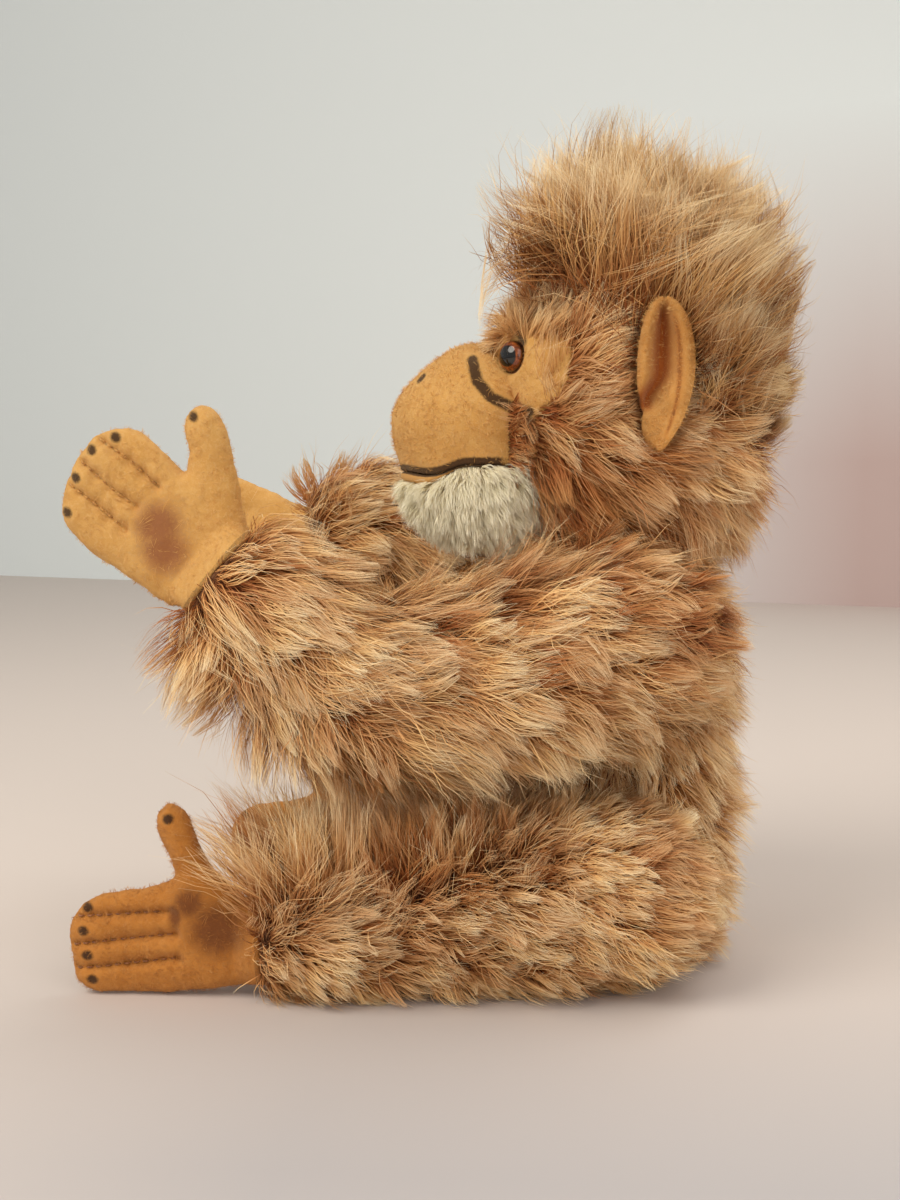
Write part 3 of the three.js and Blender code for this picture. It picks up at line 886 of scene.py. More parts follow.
def mitt_height(uv, mitt, edge):
    """Half thickness of the mitt over its plane: round at its edge, drawn in along its seams."""
    d = to_polyline(uv, np.vstack([edge, edge[:1]]).tolist())
    full = mix(MITT_HALF, 4.3, smooth(18, 46, uv[:, 0]))
    thumb = smooth(12, 24, uv[:, 1])
    full = mix(full, 5.2, thumb)
    h = full * np.sqrt(1 - (1 - np.clip(d / 8.5, 0, 1)) ** 2)
    for seam in mitt["seams"]:
        h = h * (1 - 0.42 * np.exp(-(to_polyline(uv, seam) / 1.7) ** 2))
    cuff = smooth(9, 0, uv[:, 0])
    across = np.abs(uv[:, 1]) / (mitt["cuff"] + 0.4)
    rounded = mitt["cuff"] * 0.92 * np.sqrt(np.clip(1 - across**2, 0, 1))
    return mix(h, np.maximum(h, rounded), cuff)


def build_mitt(kind, side, body):
    mitt = MITTS[kind]
    name = f"{mitt['name']}_{side}"
    at, axes = mitt_frame(kind, side)
    edge = spline(mitt["outline"], MITT_EDGE_POINTS)
    lattice = []
    low, high = edge.min(0), edge.max(0)
    for j, v in enumerate(np.arange(low[1], high[1], MITT_LEVEL * 0.87)):
        for u in np.arange(low[0], high[0], MITT_LEVEL):
            lattice.append((u + (j % 2) * MITT_LEVEL / 2, v))
    lattice = np.array(lattice)
    closed = np.vstack([edge, edge[:1]])
    lattice = lattice[to_polyline(lattice, closed.tolist()) > MITT_LEVEL * 0.6]
    count = len(edge)
    verts = [Vector(q) for q in np.vstack([edge, lattice])]
    links = [(i, (i + 1) % count) for i in range(count)]
    flat = delaunay_2d_cdt(verts, links, [list(range(count))], 1, 1e-5)
    uv = np.array([tuple(v) for v in flat[0]])
    tris = [tuple(f) for f in flat[2]]
    rim = to_polyline(uv, closed.tolist()) < 1e-3
    h = mitt_height(uv, mitt, edge)
    h[rim] = 0
    lower = np.where(rim, np.arange(len(uv)), len(uv) + np.cumsum(~rim) - 1)
    local = np.vstack([np.column_stack([uv, h]), np.column_stack([uv, -h])[~rim]])
    faces = tris + [tuple(int(lower[i]) for i in reversed(f)) for f in tris]
    obj = mesh_object(name, local, faces)
    faced_outwards(obj.data)
    q = points_of(obj)
    seam_gap = np.min([to_polyline(q[:, :2], s) for s in mitt["seams"]], axis=0)
    held = (np.abs(q[:, 2]) < 0.01) | (seam_gap < 0.8) | (q[:, 0] < 3)
    inflate(obj, 3.0, 1.2, held)
    subdivided(obj)
    q, n = points_of(obj), normals_of(obj)
    seam_gap = np.min([to_polyline(q[:, :2], s) for s in mitt["seams"]], axis=0)
    groove = 0.55 * np.exp(-(seam_gap / 0.6) ** 2) * (np.abs(q[:, 2]) > 1)
    drawn_in = np.sin(q[:, 0] * 1.15) * np.exp(-(seam_gap / 3.2) ** 2) * 0.22
    pucker = waves(q, 7, 9) * 0.2 + waves(q, 17, 10) * 0.3 + drawn_in
    q = q + n * (pucker - groove)[:, None]
    ink_and_shade = np.zeros(len(q))
    for u, v in mitt["dots"]:
        stretch = np.hypot((q[:, 0] - u) / 1.2, q[:, 1] - v)
        ink_and_shade = np.maximum(ink_and_shade, 1 - smooth(0.5, 2.5, stretch))
    # Darker along the finger seams; the band at the cuff is painted shadow where the mitt goes into the
    # limb's fur.
    ink_and_shade = np.maximum(ink_and_shade, 0.3 * np.exp(-(seam_gap / 0.5) ** 2))
    ink_and_shade = np.where(q[:, 0] < 1.0, np.maximum(ink_and_shade, 0.42), ink_and_shade)
    blush_and_shade = np.zeros(len(q))
    for u, v, ru, rv in mitt["blush_and_shade"]:
        spot = ((q[:, 0] - u) / ru) ** 2 + ((q[:, 1] - v) / rv) ** 2
        blush_and_shade = np.maximum(blush_and_shade, np.exp(-(spot**1.5)))
    paint(obj, ink_and_shade, blush_and_shade)
    move_points(obj, at + q @ axes)
    halves(obj, name, at, axes, body, side, kind)
    stitches(name, mitt, at, axes, body, kind)


def paint(obj, ink_and_shade, blush_and_shade):
    for label, values in (("ink_and_shade", ink_and_shade), ("blush_and_shade", blush_and_shade)):
        layer = obj.data.attributes.new(label, "FLOAT", "POINT")
        layer.data.foreach_set("value", np.asarray(values, np.float32))


def halves(obj, name, at, axes, body, side, kind):
    """The two felt layers of a mitt, met at the seam round its edge."""
    outward = axes[2] * (1 if axes[2][0] * SIDES[side] > 0 else -1)
    felt = FELT if kind == "arm" else FOOT_FELT
    mitt_name = MITTS[kind]["name"]
    for layer, way in (("outer", 1), ("inner", -1)):
        mesh = obj.data.copy()
        faced_outwards(mesh, cut=(Vector(at * MM), Vector(outward * way)))
        mesh.shade_smooth()
        half = in_scene(f"{mitt_name}_{layer}_{side}", mesh)
        mesh.materials.append(felt)
        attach(half, body)
        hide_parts(f"{mitt_name}_{layer}_felt_{side}")
    fuzz(f"{name}_fuzz", body, obj, 9000, 40 + len(name), 1.7, FELT_FUZZ if kind == "arm" else FOOT_FUZZ)
    bpy.data.objects.remove(obj)


def stitches(name, mitt, at, axes, body, kind):
    """Short thread stitches laid into the finger seams, on both faces."""
    edge = spline(mitt["outline"], MITT_EDGE_POINTS)
    rods = []
    for seam in mitt["seams"]:
        line = spline(seam, 60)
        steps = np.concatenate([[0], np.cumsum(np.linalg.norm(np.diff(line, axis=0), axis=1))])
        for start in np.arange(0.6, steps[-1] - 2.2, 3.0):
            s = np.linspace(start, start + 2.2, 6)
            uv = np.stack([np.interp(s, steps, line[:, i]) for i in range(2)], 1)
            height = mitt_height(uv, mitt, edge)
            for way in (1, -1):
                arch = np.array([-0.6, 0.15, 0.42, 0.42, 0.15, -0.6])
                rods.append(at + np.column_stack([uv, way * (height + arch - 0.15)]) @ axes)
    thread = tubes(f"{name}_stitches", rods, 0.27)
    thread.data.materials.append(THREAD if kind == "arm" else FOOT_THREAD)
    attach(thread, body)


def tubes(name, lines, radius):
    around = 6
    points, faces = [], []
    for line in lines:
        line = np.asarray(line, float)
        tangent = unit(np.gradient(line, axis=0))
        side = unit(np.cross(tangent, np.array([0.31, 0.54, 0.78])))
        other = np.cross(tangent, side)
        base = len(points)
        for i, at in enumerate(line):
            r = radius * (0.55 if i in (0, len(line) - 1) else 1.0)
            for k in range(around):
                a = 2 * math.pi * k / around
                points.append(at + (side[i] * math.cos(a) + other[i] * math.sin(a)) * r)
        for i in range(len(line) - 1):
            for k in range(around):
                m = (k + 1) % around
                faces.append((base + i * around + k, base + i * around + m,
                              base + (i + 1) * around + m, base + (i + 1) * around + k))
        faces.append(tuple(base + k for k in reversed(range(around))))
        last = base + (len(line) - 1) * around
        faces.append(tuple(last + k for k in range(around)))
    return mesh_object(name, points, faces)


def fuzz(name, body, obj, count, seed, length=1.5, material=None):
    """Loose short fibres that stand off the felt, fewer where it is inked, sprayed or darkened with
    painted shade.
    """
    at = points_of(obj)
    marked = np.zeros(len(at))
    for label in ("ink_and_shade", "blush_and_shade"):
        layer = np.zeros(len(at), np.float32)
        obj.data.attributes[label].data.foreach_get("value", layer)
        marked = np.maximum(marked, layer)
    shown = at[marked > 0.3]

    def style(p, n):
        rng = np.random.default_rng(seed)
        return {
            "flow": unit(rng.normal(size=p.shape)),
            "length": length * rng.uniform(0.5, 1.3, len(p)),
            "lift0": 0.5, "lift1": 0.22, "droop": 0.0, "lock": 0.0,
            "tone": 0.5, "width": FUZZ_WIDTH,
        }

    def density(p, n):
        if not len(shown):
            return 1.0
        close = np.linalg.norm(shown[nearest(p, shown)] - p, axis=1) < 1.4
        return np.where(close, 0.12, 1.0)

    return grow(name, body, obj, count, style, density, material or FELT_FUZZ, seed,
                locks=(30, 6), messy=1.2, segments=2)


# ---------- head ----------


def head_field(p):
    return blended(p, (SKULL, BROW), 15)


def snout_field(p):
    """Muzzle and jaw, with the bridge of the nose sloping down to the front."""
    slope = 5.0 * smooth(-46, -68, p[..., 1]) * smooth(176, 202, p[..., 2])
    return blended(p + UP * slope[..., None], (MUZZLE, JAW), 16)


def head_surface(rays):
    centre = np.array(SKULL[0], float)
    p = surface_along(centre, rays, head_field)
    below = p[:, 2] < NECK_TOP
    t = (NECK_TOP - centre[2]) / np.minimum(rays[:, 2], -1e-6)
    p[below] = centre + rays[below] * t[below, None]
    return p


def sphere_rays(levels):
    bm = bmesh.new()
    bmesh.ops.create_icosphere(bm, subdivisions=levels, radius=1)
    rays = unit(np.array([tuple(v.co) for v in bm.verts]))
    faces = [tuple(v.index for v in f.verts) for f in bm.faces]
    bm.free()
    return rays, faces


def build_head():
    rays, faces = sphere_rays(6)
    head = mesh_object("head", head_surface(rays), faces)
    head.data.materials.append(BACKING)
    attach(head, "head")
    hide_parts("head_cover", "head_stuffing")
    build_face()
    build_snout()
    for side in SIDES:
        build_eye(side)
        build_ear(side)
    head_fur(head)


def face_share(p):
    """1 on the hairline round the bare face, less inside it."""
    (y, z), (ry, rz) = FACE
    eyes = np.hypot((p[:, 1] - y) / ry, (p[:, 2] - z) / rz)
    front = np.maximum((p[:, 1] + 66) / 39.5, (p[:, 2] - 130) / 62)
    return np.minimum(eyes, front) + 0.07 * waves(p, 11, 66)


def eye_gap(p):
    """Distance of each point from the nearer eye's centre."""
    mirrored = np.abs(p[:, 0])
    return np.sqrt((mirrored - EYE["centre"][0]) ** 2 + (p[:, 1] - EYE["centre"][1]) ** 2
                   + (p[:, 2] - EYE["centre"][2]) ** 2)


BAND = [(-45, 201), (-43.2, 194), (-38.5, 188.5), (-31, 185), (-26, 183.6)]
LID = [(-32.5, 211.5), (-29.6, 209.8), (-28.2, 206.4)]
NOSTRIL = [(-63.4, 194.6), (-62.0, 196.4)]


def face_ink(p):
    """The dark lines sprayed round the eye."""
    yz = p[:, 1:]
    ink_and_shade = 1 - smooth(0.7, 2.9, to_polyline(yz, BAND))
    ink_and_shade = np.maximum(ink_and_shade, 0.85 * (1 - smooth(0.3, 2.3, to_polyline(yz, LID))))
    ink_and_shade = np.maximum(ink_and_shade, 0.7 * (1 - smooth(5.0, 6.4, eye_gap(p))))
    return ink_and_shade * smooth(7, 11, np.abs(p[:, 0]))


def build_face():
    """Felt of the eye area. Its border dips under the fur and the snout."""
    rays, faces = sphere_rays(7)
    p = head_surface(rays)
    opening = face_share(p)
    wanted = (opening < 1.12) & (p[:, 1] < 0) & (p[:, 2] > 150)
    n = unit(p - np.array(SKULL[0], float))
    proud = mix(1.3, -0.8, smooth(1.0, 1.12, opening))
    gap = eye_gap(p)
    socket = -2.6 * np.exp(-(gap / 6.2) ** 4) + 0.9 * np.exp(-((gap - 8.6) / 2.2) ** 2)
    p = p + n * (proud + socket + waves(p, 16, 31) * 0.3)[:, None]
    index = np.cumsum(wanted) - 1
    kept = [tuple(int(index[i]) for i in f) for f in faces if all(wanted[i] for i in f)]
    felt = mesh_object("face", p[wanted], kept)
    paint(felt, face_ink(p[wanted]), np.zeros(wanted.sum()))
    felt.data.materials.append(FELT)
    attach(felt, "head")
    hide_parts("face_felt")
    fuzz("face_fuzz", "head", felt, 6000, 61, 2.0)
    brow_fur(felt)


def brow_fur(felt):
    """Short golden hair over the brow, thinning out to stray hairs behind the eye."""

    def style(p, n):
        front = smooth(-28, -38, p[:, 1])
        return {
            "flow": unit(UP * mix(0.9, -0.3, front)[:, None] + BACK * mix(0.9, -0.5, front)[:, None]),
            "length": mix(13.0, 9.0, front),
            "lift0": mix(0.35, 0.6, front), "lift1": mix(0.15, 0.4, front),
            "droop": 0.3 * front, "lock": 0.4, "tone": 0.5 + waves(p, 12, 64) * 0.25,
            "width": 0.2,
        }

    def density(p, n):
        brow = smooth(204, 209, p[:, 2])
        behind = 0.16 * smooth(-30, -18, p[:, 1])
        return np.maximum(brow, behind) * (eye_gap(p) > 6.5)

    grow("brow_fur", "head", felt, 5200, style, density, BROW_PILE, 64,
         locks=(40, 7), messy=0.9)


def mouth_height(y):
    """The mouth's line: low at its front, higher behind."""
    return 164.6 - 1.5 * np.exp(-((y + 60) / 7) ** 2) + 1.9 * smooth(-56, -46, y)


def build_snout():
    """Muzzle, lower lip and chin: rows of one surface, split along the mouth and under the lip."""
    centre = np.array(SNOUT_CENTRE)
    around = 220
    phis = np.linspace(0, 2 * math.pi, around, endpoint=False)

    def ray(elevation):
        return np.stack([np.sin(phis) * np.cos(elevation), -np.cos(phis) * np.cos(elevation),
                         np.sin(elevation)], 1)

    def row_at(height):
        """Elevations at which the surface reaches a height that depends on y."""
        low, high = (np.full(around, limit) for limit in MOUTH_BAND)
        for _ in range(26):
            middle = (low + high) / 2
            p = surface_along(centre, ray(middle), snout_field)
            under = p[:, 2] < height(p[:, 1])
            low, high = np.where(under, middle, low), np.where(under, high, middle)
        return low

    mouth = row_at(mouth_height)
    lip = row_at(lambda y: mouth_height(y) - mix(3.4, 0.4, smooth(-65, -48, y)))
    rows = {
        "muzzle": [mix(mouth, math.pi / 2, t**1.15) for t in np.linspace(0, 1, 84)],
        "lower_lip": [mix(lip, mouth, t) for t in np.linspace(0, 1, 9)],
        "chin": [mix(-math.pi / 2, lip, t) for t in np.linspace(0, 1, 44)],
    }
    for label, elevations in rows.items():
        points = []
        for i, elevation in enumerate(elevations):
            p = surface_along(centre, ray(elevation), snout_field)
            inward = unit(centre - p)
            last = len(elevations) - 1
            if label == "muzzle":
                dip = 1.7 * max(0.0, 1 - i / 3) ** 2
            elif label == "lower_lip":
                dip = 1.5 * (abs(i - 4) / 4) ** 3 - 0.5
            else:
                dip = 1.6 * max(0.0, 1 - (last - i) / 4) + 0.6
            points.append(p + inward * dip)
        count = len(elevations)
        points = np.concatenate(points)
        faces = ring_faces(count, around)
        buried = head_field(points) < 0.90
        faces = [f for f in faces if not all(buried[i] for i in f)]
        used = sorted({i for f in faces for i in f})
        renumber = {old: new for new, old in enumerate(used)}
        points = points[used]
        faces = [tuple(renumber[i] for i in f) for f in faces]
        obj = mesh_object(label, points, faces)
        faced_outwards(obj.data, weld=2e-5)
        finish_snout(label, obj)


def finish_snout(label, obj):
    p, n = points_of(obj), normals_of(obj)
    if (n * (p - np.array(SNOUT_CENTRE) - UP * 7)).sum() < 0:
        obj.data.flip_normals()
        n = -n
    if label == "muzzle":
        p = p + n * (waves(p, 22, 41) * 0.35)[:, None]
        move_points(obj, p)
        above = p[:, 2] - mouth_height(p[:, 1])
        front = smooth(-31, -37, p[:, 1])
        ink_and_shade = (1 - smooth(1.7, 3.5, above)) * front
        yz = p[:, 1:]
        nostril = to_polyline(yz, NOSTRIL)
        ink_and_shade = np.maximum(ink_and_shade, (1 - smooth(0.3, 1.5, nostril)) * (np.abs(p[:, 0]) > 3))
        band = 1 - smooth(0.7, 2.9, to_polyline(yz, BAND))
        ink_and_shade = np.maximum(ink_and_shade, band * smooth(8, 12, np.abs(p[:, 0])))
        paint(obj, ink_and_shade, 0.25 * (1 - smooth(2.5, 7, above)) * front)
        node_name, material = "muzzle_felt", FELT
    elif label == "lower_lip":
        ink_and_shade = 1 - smooth(0.2, 0.9, mouth_height(p[:, 1]) - p[:, 2])
        paint(obj, ink_and_shade, 0.3 + 0 * ink_and_shade)
        node_name, material = "lower_lip_felt", FELT
    else:
        node_name, material = "chin_patch", simple_material(
            "chin_ground", (218, 196, 152), (232, 214, 174), 700.0, 0.9, 0.0004)
    obj.data.materials.append(material)
    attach(obj, "head")
    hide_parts(node_name)
    if label == "muzzle":
        fuzz("muzzle_fuzz", "head", obj, 16000, 62, 1.7)
        cheek_fur(obj)
    if label == "chin":
        chin_fur(obj)


def cheek_fur(muzzle):
    """Short dark pile that closes the muzzle's back edge."""

    def style(p, n):
        return {
            "flow": BACK * 1.0 + UP * (0.04 * (p[:, 2] - 176))[:, None], "length": 11.0,
            "lift0": 0.75, "lift1": 0.3, "droop": 0.1, "lock": 0.4,
            "tone": 0.12, "width": 0.26,
        }

    def density(p, n):
        return (p[:, 1] > -33) * (head_field(p) > 0.97) * smooth(187, 183, p[:, 2])

    grow("cheek_fur", "head", muzzle, 2600, style, density, MOHAIR, 72,
         locks=(40, 7), messy=0.8)


def chin_fur(obj):
    def style(p, n):
        rear = smooth(-60, -35, p[:, 1])
        return {
            "flow": -UP[None] * 1.0 + BACK * (0.25 + 0.3 * rear)[:, None],
            "length": mix(8.0, 10.5, rear), "lift0": 0.8, "lift1": 0.4,
            "droop": 0.2, "lock": 0.1, "tone": 0.85, "width": 0.2,
        }

    def density(p, n):
        return np.where((head_field(p) > 0.99) & (p[:, 2] > 143), 1.0, 0.0)

    grow("chin_fur", "head", obj, 26000, style, density, CHIN_PILE, 71,
         locks=(40, 8), messy=0.5, segments=3, tight=0.4, contrast=0.08)


def build_eye(side):
    """A glass eye: a brown dome with a black pupil, under a clear coat."""
    sign = SIDES[side]
    rays, faces = sphere_rays(5)
    shape = rays * np.array([EYE["radius"], EYE["dome"], EYE["radius"]])
    look = -rays[:, 1]
    turn = EYE["turn"] * sign
    x = shape[:, 0] * math.cos(turn) - shape[:, 1] * math.sin(turn)
    y = shape[:, 0] * math.sin(turn) + shape[:, 1] * math.cos(turn)
    centre = np.array(EYE["centre"]) * np.array([sign, 1, 1])
    eye = mesh_object(f"glass_eye_{side}", np.column_stack([x, y, shape[:, 2]]) + centre, faces)
    layer = eye.data.attributes.new("look", "FLOAT", "POINT")
    layer.data.foreach_set("value", look.astype(np.float32))
    eye.data.materials.append(EYE_GLASS)
    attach(eye, "head")
    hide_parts(f"eye_{side}")


def eye_material():
    made, bsdf = shader(
        "amber_glass", 0.08, Coat_Weight=0.5, Coat_Roughness=0.03, Specular_IOR_Level=0.45)
    look = node(made, "ShaderNodeAttribute", attribute_name="look").outputs["Fac"]
    fleck = noise(made, 900.0, 3.0)
    iris = mixed(made, scaled(made, fleck, 0.35, 0.65), srgb(84, 36, 12), srgb(156, 80, 28))
    ring = mixed(made, scaled(made, look, 0.25, 0.55), srgb(34, 14, 6), iris)
    colour = mixed(made, scaled(made, look, 0.72, 0.76), ring, srgb(6, 4, 4))
    coloured(made, bsdf, colour)
    return made


EYE_GLASS = eye_material()


def build_ear(side):
    """A cupped felt ear: a rolled front flap, a deep fold and a back leaf that runs into the lobe."""
    sign = SIDES[side]
    rows, columns = 64, 44
    s = np.linspace(-1, 1, rows)[:, None]
    t = np.linspace(-1, 1, columns)[None, :]
    round_s = np.sin(s * math.pi / 2)
    half = 8.6 * np.sqrt(np.clip(1 - (round_s * 0.999) ** 2, 0.0005, 1)) * (1 + 0.1 * round_s)
    flap = smooth(-0.52, -0.3, round_s)
    end = smooth(1.0, 0.8, np.abs(round_s))
    fold = -0.25 - 0.72 * smooth(0.05, -0.42, round_s)
    t_fold = np.where(t < fold, -1 + (t + 1) * 0.75 / (fold + 1),
                      -0.25 + (t - fold) * 1.25 / (1 - fold))
    knots = [-1.0, -0.93, -0.8, -0.66, -0.5, -0.3, -0.05, 0.2, 0.45, 0.78, 1.0]
    folded = np.interp(
        t_fold, knots, [43.6, 46.2, 47.2, 45.6, 41.4, 38.8, 38.8, 41.4, 44.8, 45.8, 44.8])
    leaf = np.interp(t, knots, [41.4, 41.8, 42.0, 42.2, 42.4, 42.6, 43.0, 43.4, 44.2, 44.8, 44.6])
    x = leaf + (folded - leaf) * flap * (0.35 + 0.65 * end)
    x = x + 2.2 * smooth(0.4, 1.0, round_s)
    axis = 15.2 + 1.8 * (1 - round_s**2) + 1.0 * round_s
    front_cut = 1 - 0.16 * np.exp(-((round_s + 0.5) / 0.16) ** 2) * (t < 0)
    y = axis + half * t * front_cut
    z = 194.3 + 23.0 * round_s + 0 * t
    p = np.stack([sign * x, y, z + 0 * x], 2).reshape(-1, 3)
    faces = []
    for r in range(rows - 1):
        for c in range(columns - 1):
            i = r * columns + c
            faces.append((i, i + 1, i + columns + 1, i + columns))
    ear = mesh_object(f"ear_leaf_{side}", p, faces)
    tt = (t + 0 * s).ravel()
    ss = (round_s + 0 * t).ravel()
    at_fold = tt - (fold + 0 * t).ravel()
    above = smooth(-0.56, -0.42, ss)
    # The cup round the fold is darkened with painted shade, deepest in the fold itself; the line near the
    # back edge is an airbrushed line.
    fold_shade = np.exp(-((at_fold - 0.08) / 0.42) ** 4) * above * smooth(0.97, 0.8, ss)
    line = np.exp(-((tt - 0.5) / 0.1) ** 2) * smooth(-0.92, -0.7, ss) * smooth(0.92, 0.7, ss)
    cup_shade = np.exp(-(at_fold / 0.42) ** 2) * above * smooth(1.0, 0.86, ss)
    deepest_fold_shade = np.exp(-(at_fold / 0.12) ** 2) * fold_shade
    # The fold's painted shade goes into the blush layer and its deepest part into the ink layer, beside
    # the airbrushed line.
    paint(ear, np.maximum(0.36 * line, 0.14 * deepest_fold_shade), 0.8 * fold_shade + 0.1 * cup_shade + 0.6 * line)
    relaxed(ear, 3)
    with_modifier(ear, "SOLIDIFY", thickness=1.5 * MM, offset=0.0, use_even_offset=False)
    subdivided(ear)
    p = points_of(ear)
    n = normals_of(ear)
    move_points(ear, p + n * (waves(p, 9, 51) * 0.12)[:, None])
    ear.data.materials.append(EAR_FELT)
    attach(ear, "head")
    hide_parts(f"ear_{side}")
    fuzz(f"ear_fuzz_{side}", "head", ear, 4500, 63, 1.5)


def crown_share(p):
    """1 above the slanting line from the hairline to the nape, 0 below it."""
    (y0, z0), (y1, z1) = HAIRLINE
    line = z0 + (z1 - z0) * (p[:, 1] - y0) / (y1 - y0)
    return smooth(-5, 5, p[:, 2] - line)


def under_ear(p):
    """How far a point lies within an ear's outline, seen from the side: 1 at its middle."""
    return 1 - np.hypot((p[:, 1] - EAR_AT[1]) / 10.5, (p[:, 2] - EAR_AT[2]) / 25)


def head_fur(head):
    snout_side = np.array([0.0, -58.0, 182.0])

    def flows(p):
        away = unit((p - snout_side) * np.array([0.45, 1, 1]))
        rear = smooth(5, 42, p[:, 1])
        low = smooth(186, 160, p[:, 2])
        high = smooth(196, 222, p[:, 2])
        flow = away + UP * (1.1 * high - 1.0 * low * rear - 0.55 * low)[:, None]
        flow = flow + BACK * (0.35 * (1 - high))[:, None]
        return unit(flow), rear, low, high

    def crown_style(p, n):
        flow, rear, _, high = flows(p)
        brow = smooth(0.95, 1.4, face_share(p))
        fore = smooth(-12, -34, p[:, 1])
        up_long = 58 + 4 * waves(p, 30, 81)
        behind = mix(58.0, 24.0, smooth(226, 180, p[:, 2]))
        length = mix(up_long, behind, rear) * mix(0.45, 1.0, brow)
        stand = unit(UP * (2.3 - 0.9 * rear)[:, None] + n * (mix(0.5, 0.4, rear) + 0.1 * fore)[:, None]
                     + BACK * (0.16 * rear - 0.22 * fore)[:, None])
        flow = unit(flow * 0.15 + stand)
        return {
            "flow": flow, "length": length,
            "lift0": mix(0.35, 0.5, rear), "lift1": mix(0.1, 0.26, rear) * (1 - 0.6 * high),
            "droop": 0.0, "lock": 1.3,
            "tone": 0.48 + 0.3 * fore + waves(p, 25, 82) * 0.24, "width": 0.27,
        }

    def side_style(p, n):
        flow, rear, low, _ = flows(p)
        edge = smooth(1.0, 1.35, face_share(p))
        ear = smooth(-0.6, 0.1, under_ear(p))
        length = mix(32.0, 26.0, rear) * mix(0.6, 1.0, edge) * (1 - 0.35 * ear)
        brown = smooth(194, 168, p[:, 2]) * smooth(20, -16, p[:, 1])
        return {
            "flow": flow, "length": length,
            "lift0": mix(0.36, 0.52, rear), "lift1": mix(0.05, 0.26, rear),
            "droop": 0.22 * low, "lock": 1.1,
            "tone": 0.42 - 0.32 * brown + 0.14 * rear + waves(p, 20, 83) * 0.22, "width": 0.28,
        }

    def bare(p):
        hidden = (snout_field(p) < 1.0) | (p[:, 2] < NECK_TOP + 0.6)
        hairline = smooth(0.84, 1.06, face_share(p)) ** 1.5
        return np.where(hidden, 0.0, hairline) * np.where(under_ear(p) > 0.55, 0.25, 1.0)

    def round_the_ear(q):
        """Hair inside an ear's outline lies under the ear."""
        x = np.abs(q[:, 0])
        inside = smooth(-0.12, 0.12, under_ear(q)) * (x > 20)
        tucked = np.where(x > EAR_BACK, mix(x, EAR_BACK, inside), x)
        q = q.copy()
        q[:, 0] = np.sign(q[:, 0]) * tucked
        return q

    def above_the_brow(q):
        """The crown's front hair, drawn back where it would hang out over the brow."""
        q = round_the_ear(q)
        q[:, 1] = np.where(q[:, 1] < BROW_LINE, BROW_LINE + (q[:, 1] - BROW_LINE) * 0.3, q[:, 1])
        return q

    crown = grow("crown_fur", "head", head, 52000, crown_style, lambda p, n: bare(p) * crown_share(p),
                 CROWN_MOHAIR, 91, locks=(170, 12), messy=0.72,
                 shape=above_the_brow, curl=(0.2, 0.6), contrast=0.26)
    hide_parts("crown_panel")
    grow("head_fur", "head", head, 32000, side_style, lambda p, n: bare(p) * (1 - crown_share(p)),
         MOHAIR, 92, locks=(90, 10), messy=0.66,
         shape=round_the_ear, curl=(0.15, 0.5), contrast=0.22)


# ---------- carried-over CAD parts ----------


def finish_frame_nodes():
    looks = {
        "disc": simple_material("hardboard", (104, 70, 42), (134, 94, 60), 420.0, 0.8, 0.0003),
        "steel": simple_material(
            "drawn_steel", (150, 152, 156), (188, 190, 194), 700.0, 0.35, 0.0001, 1.0),
        "fill": simple_material("wood_wool", (214, 196, 150), (180, 158, 112), 260.0, 0.95, 0.001),
    }
    for label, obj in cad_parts.items():
        kind = "disc" if "disc" in label else "fill" if "stuffing" in label else "steel"
        if obj.hide_render:
            kind = "fill"
        obj.data.materials.clear()
        obj.data.materials.append(looks[kind])


# ---------- camera, floor, light ----------

CAMERA_AZIMUTH = 95
CAMERA_ELEVATION = 5
CAMERA_DISTANCE = 520
CAMERA_TARGET = (0, -54, 120)
CAMERA_SENSOR, CAMERA_LENS = 36, 45
LIGHT_TARGET = (0, -40, 110)
FLOOR_X, FLOOR_Y = (-5200, 3200), (-5200, 5200)
# The wall's line passes through these and stands beyond any camera that looks at the object.
WALL = (-1755.0, -946.0), (-1245.0, 567.0)
WALL_REACH, WALL_HEIGHT = 4000, 4200


def add_camera():
    a, e = math.radians(CAMERA_AZIMUTH), math.radians(CAMERA_ELEVATION)
    back = Vector((math.sin(a) * math.cos(e), -math.cos(a) * math.cos(e), math.sin(e)))
    data = bpy.data.cameras.new("camera")
    data.sensor_fit = "VERTICAL"
    data.sensor_height = CAMERA_SENSOR
    data.lens = CAMERA_LENS
    data.clip_start = 0.01
    camera = in_scene("camera", data)
    camera.location = (Vector(CAMERA_TARGET) + back * CAMERA_DISTANCE) * MM
    camera.rotation_euler = back.to_track_quat("Z", "Y").to_euler()
    bpy.context.scene.camera = camera


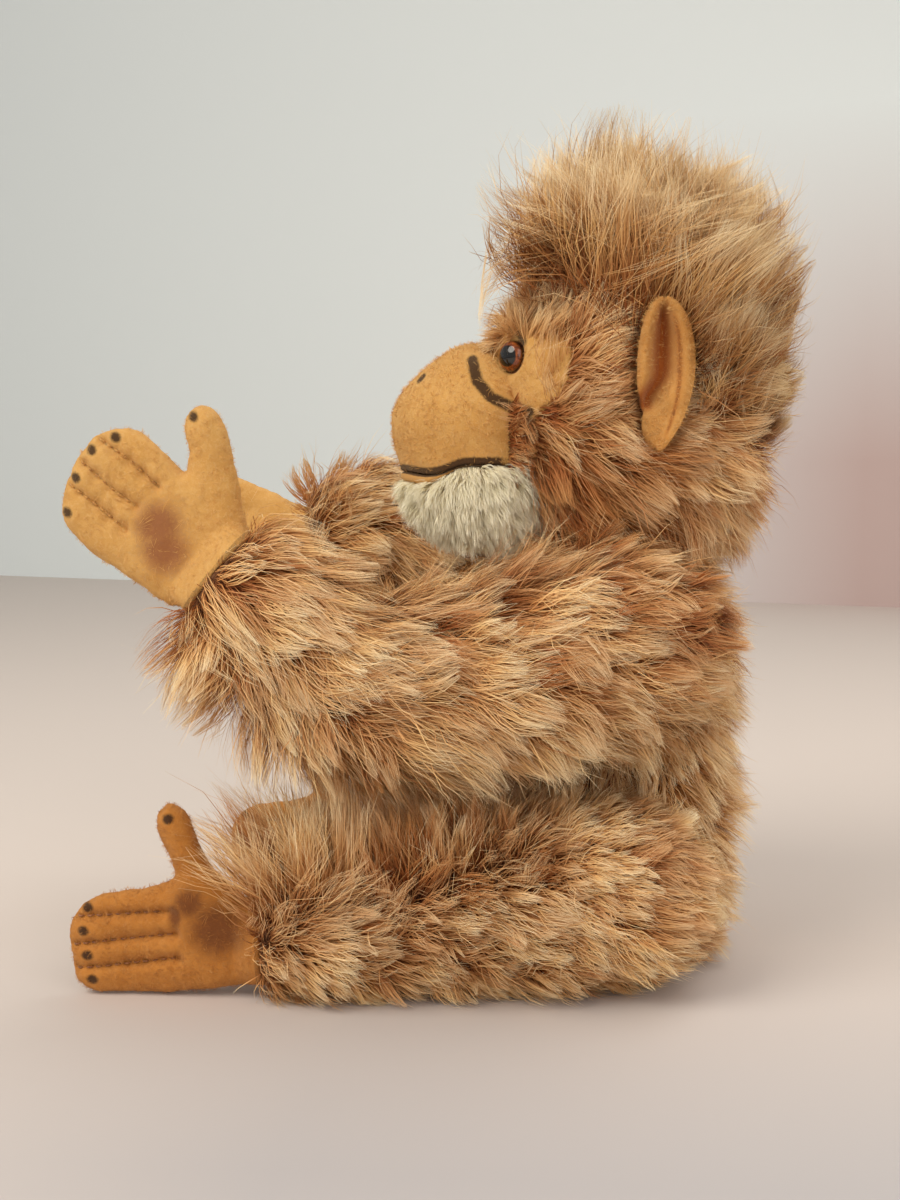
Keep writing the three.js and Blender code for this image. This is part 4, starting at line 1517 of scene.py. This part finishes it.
def stage_material(name, lit, shaded, across, along):
    """Painted board that falls into shade over the two stretches given, each (axis, from, to)."""
    made, bsdf = shader(name, 0.75)
    place = node(made, "ShaderNodeTexCoord").outputs["Object"]
    split = node(made, "ShaderNodeSeparateXYZ", {0: place})
    shares = [scaled(made, split.outputs[axis], low * MM, high * MM)
              for axis, low, high in (across, along)]
    share = node(made, "ShaderNodeMath", {0: shares[0], 1: shares[1]}, operation="MULTIPLY").outputs[0]
    coloured(made, bsdf, mixed(made, share, srgb(*lit), srgb(*shaded)))
    return made


def plane(name, corners, material):
    obj = mesh_object(name, corners, [(0, 1, 2, 3)])
    obj.data.materials.append(material)


def add_stage():
    (x0, x1), (y0, y1) = FLOOR_X, FLOOR_Y
    plane("floor", [(x0, y0, 0), (x1, y0, 0), (x1, y1, 0), (x0, y1, 0)],
          stage_material("floor", (214, 203, 195), (184, 180, 180), (0, 0, 180), (1, -260, -80)))
    near, far = (np.array(point) for point in WALL)
    along = unit(far - near)
    a, b = near - along * WALL_REACH, far + along * WALL_REACH
    plane("wall", [(*a, 0), (*b, 0), (*b, WALL_HEIGHT), (*a, WALL_HEIGHT)],
          stage_material("wall", (236, 244, 245), (198, 176, 171), (1, -62, 329), (2, 598, 174)))


def area_light(name, at, size, power, colour):
    data = bpy.data.lights.new(name, "AREA")
    data.shape = "DISK"
    data.size = size
    data.energy = power
    data.color = colour
    obj = in_scene(name, data)
    obj.location = Vector(at) * MM
    obj.rotation_euler = (Vector(at) - Vector(LIGHT_TARGET)).to_track_quat("Z", "Y").to_euler()


def add_light():
    area_light("key", (800, -900, 1150), 1.1, 17, (1.0, 0.93, 0.83))
    area_light("fill", (1200, 700, 700), 1.4, 7, (1.0, 0.88, 0.8))
    area_light("rim", (-350, 500, 1100), 0.8, 5, (1.0, 0.93, 0.86))
    world = bpy.data.worlds.new("studio")
    world.use_nodes = True
    world.node_tree.nodes["Background"].inputs[0].default_value = (1.0, 0.98, 0.95, 1)
    world.node_tree.nodes["Background"].inputs[1].default_value = 0.46
    bpy.context.scene.world = world


bpy.context.scene.view_settings.view_transform = "Standard"
add_camera()
add_stage()
add_light()
build_trunk()
build_head()
for limb_kind in LIMBS:
    for limb_side in SIDES:
        build_limb(limb_kind, limb_side)
finish_frame_nodes()
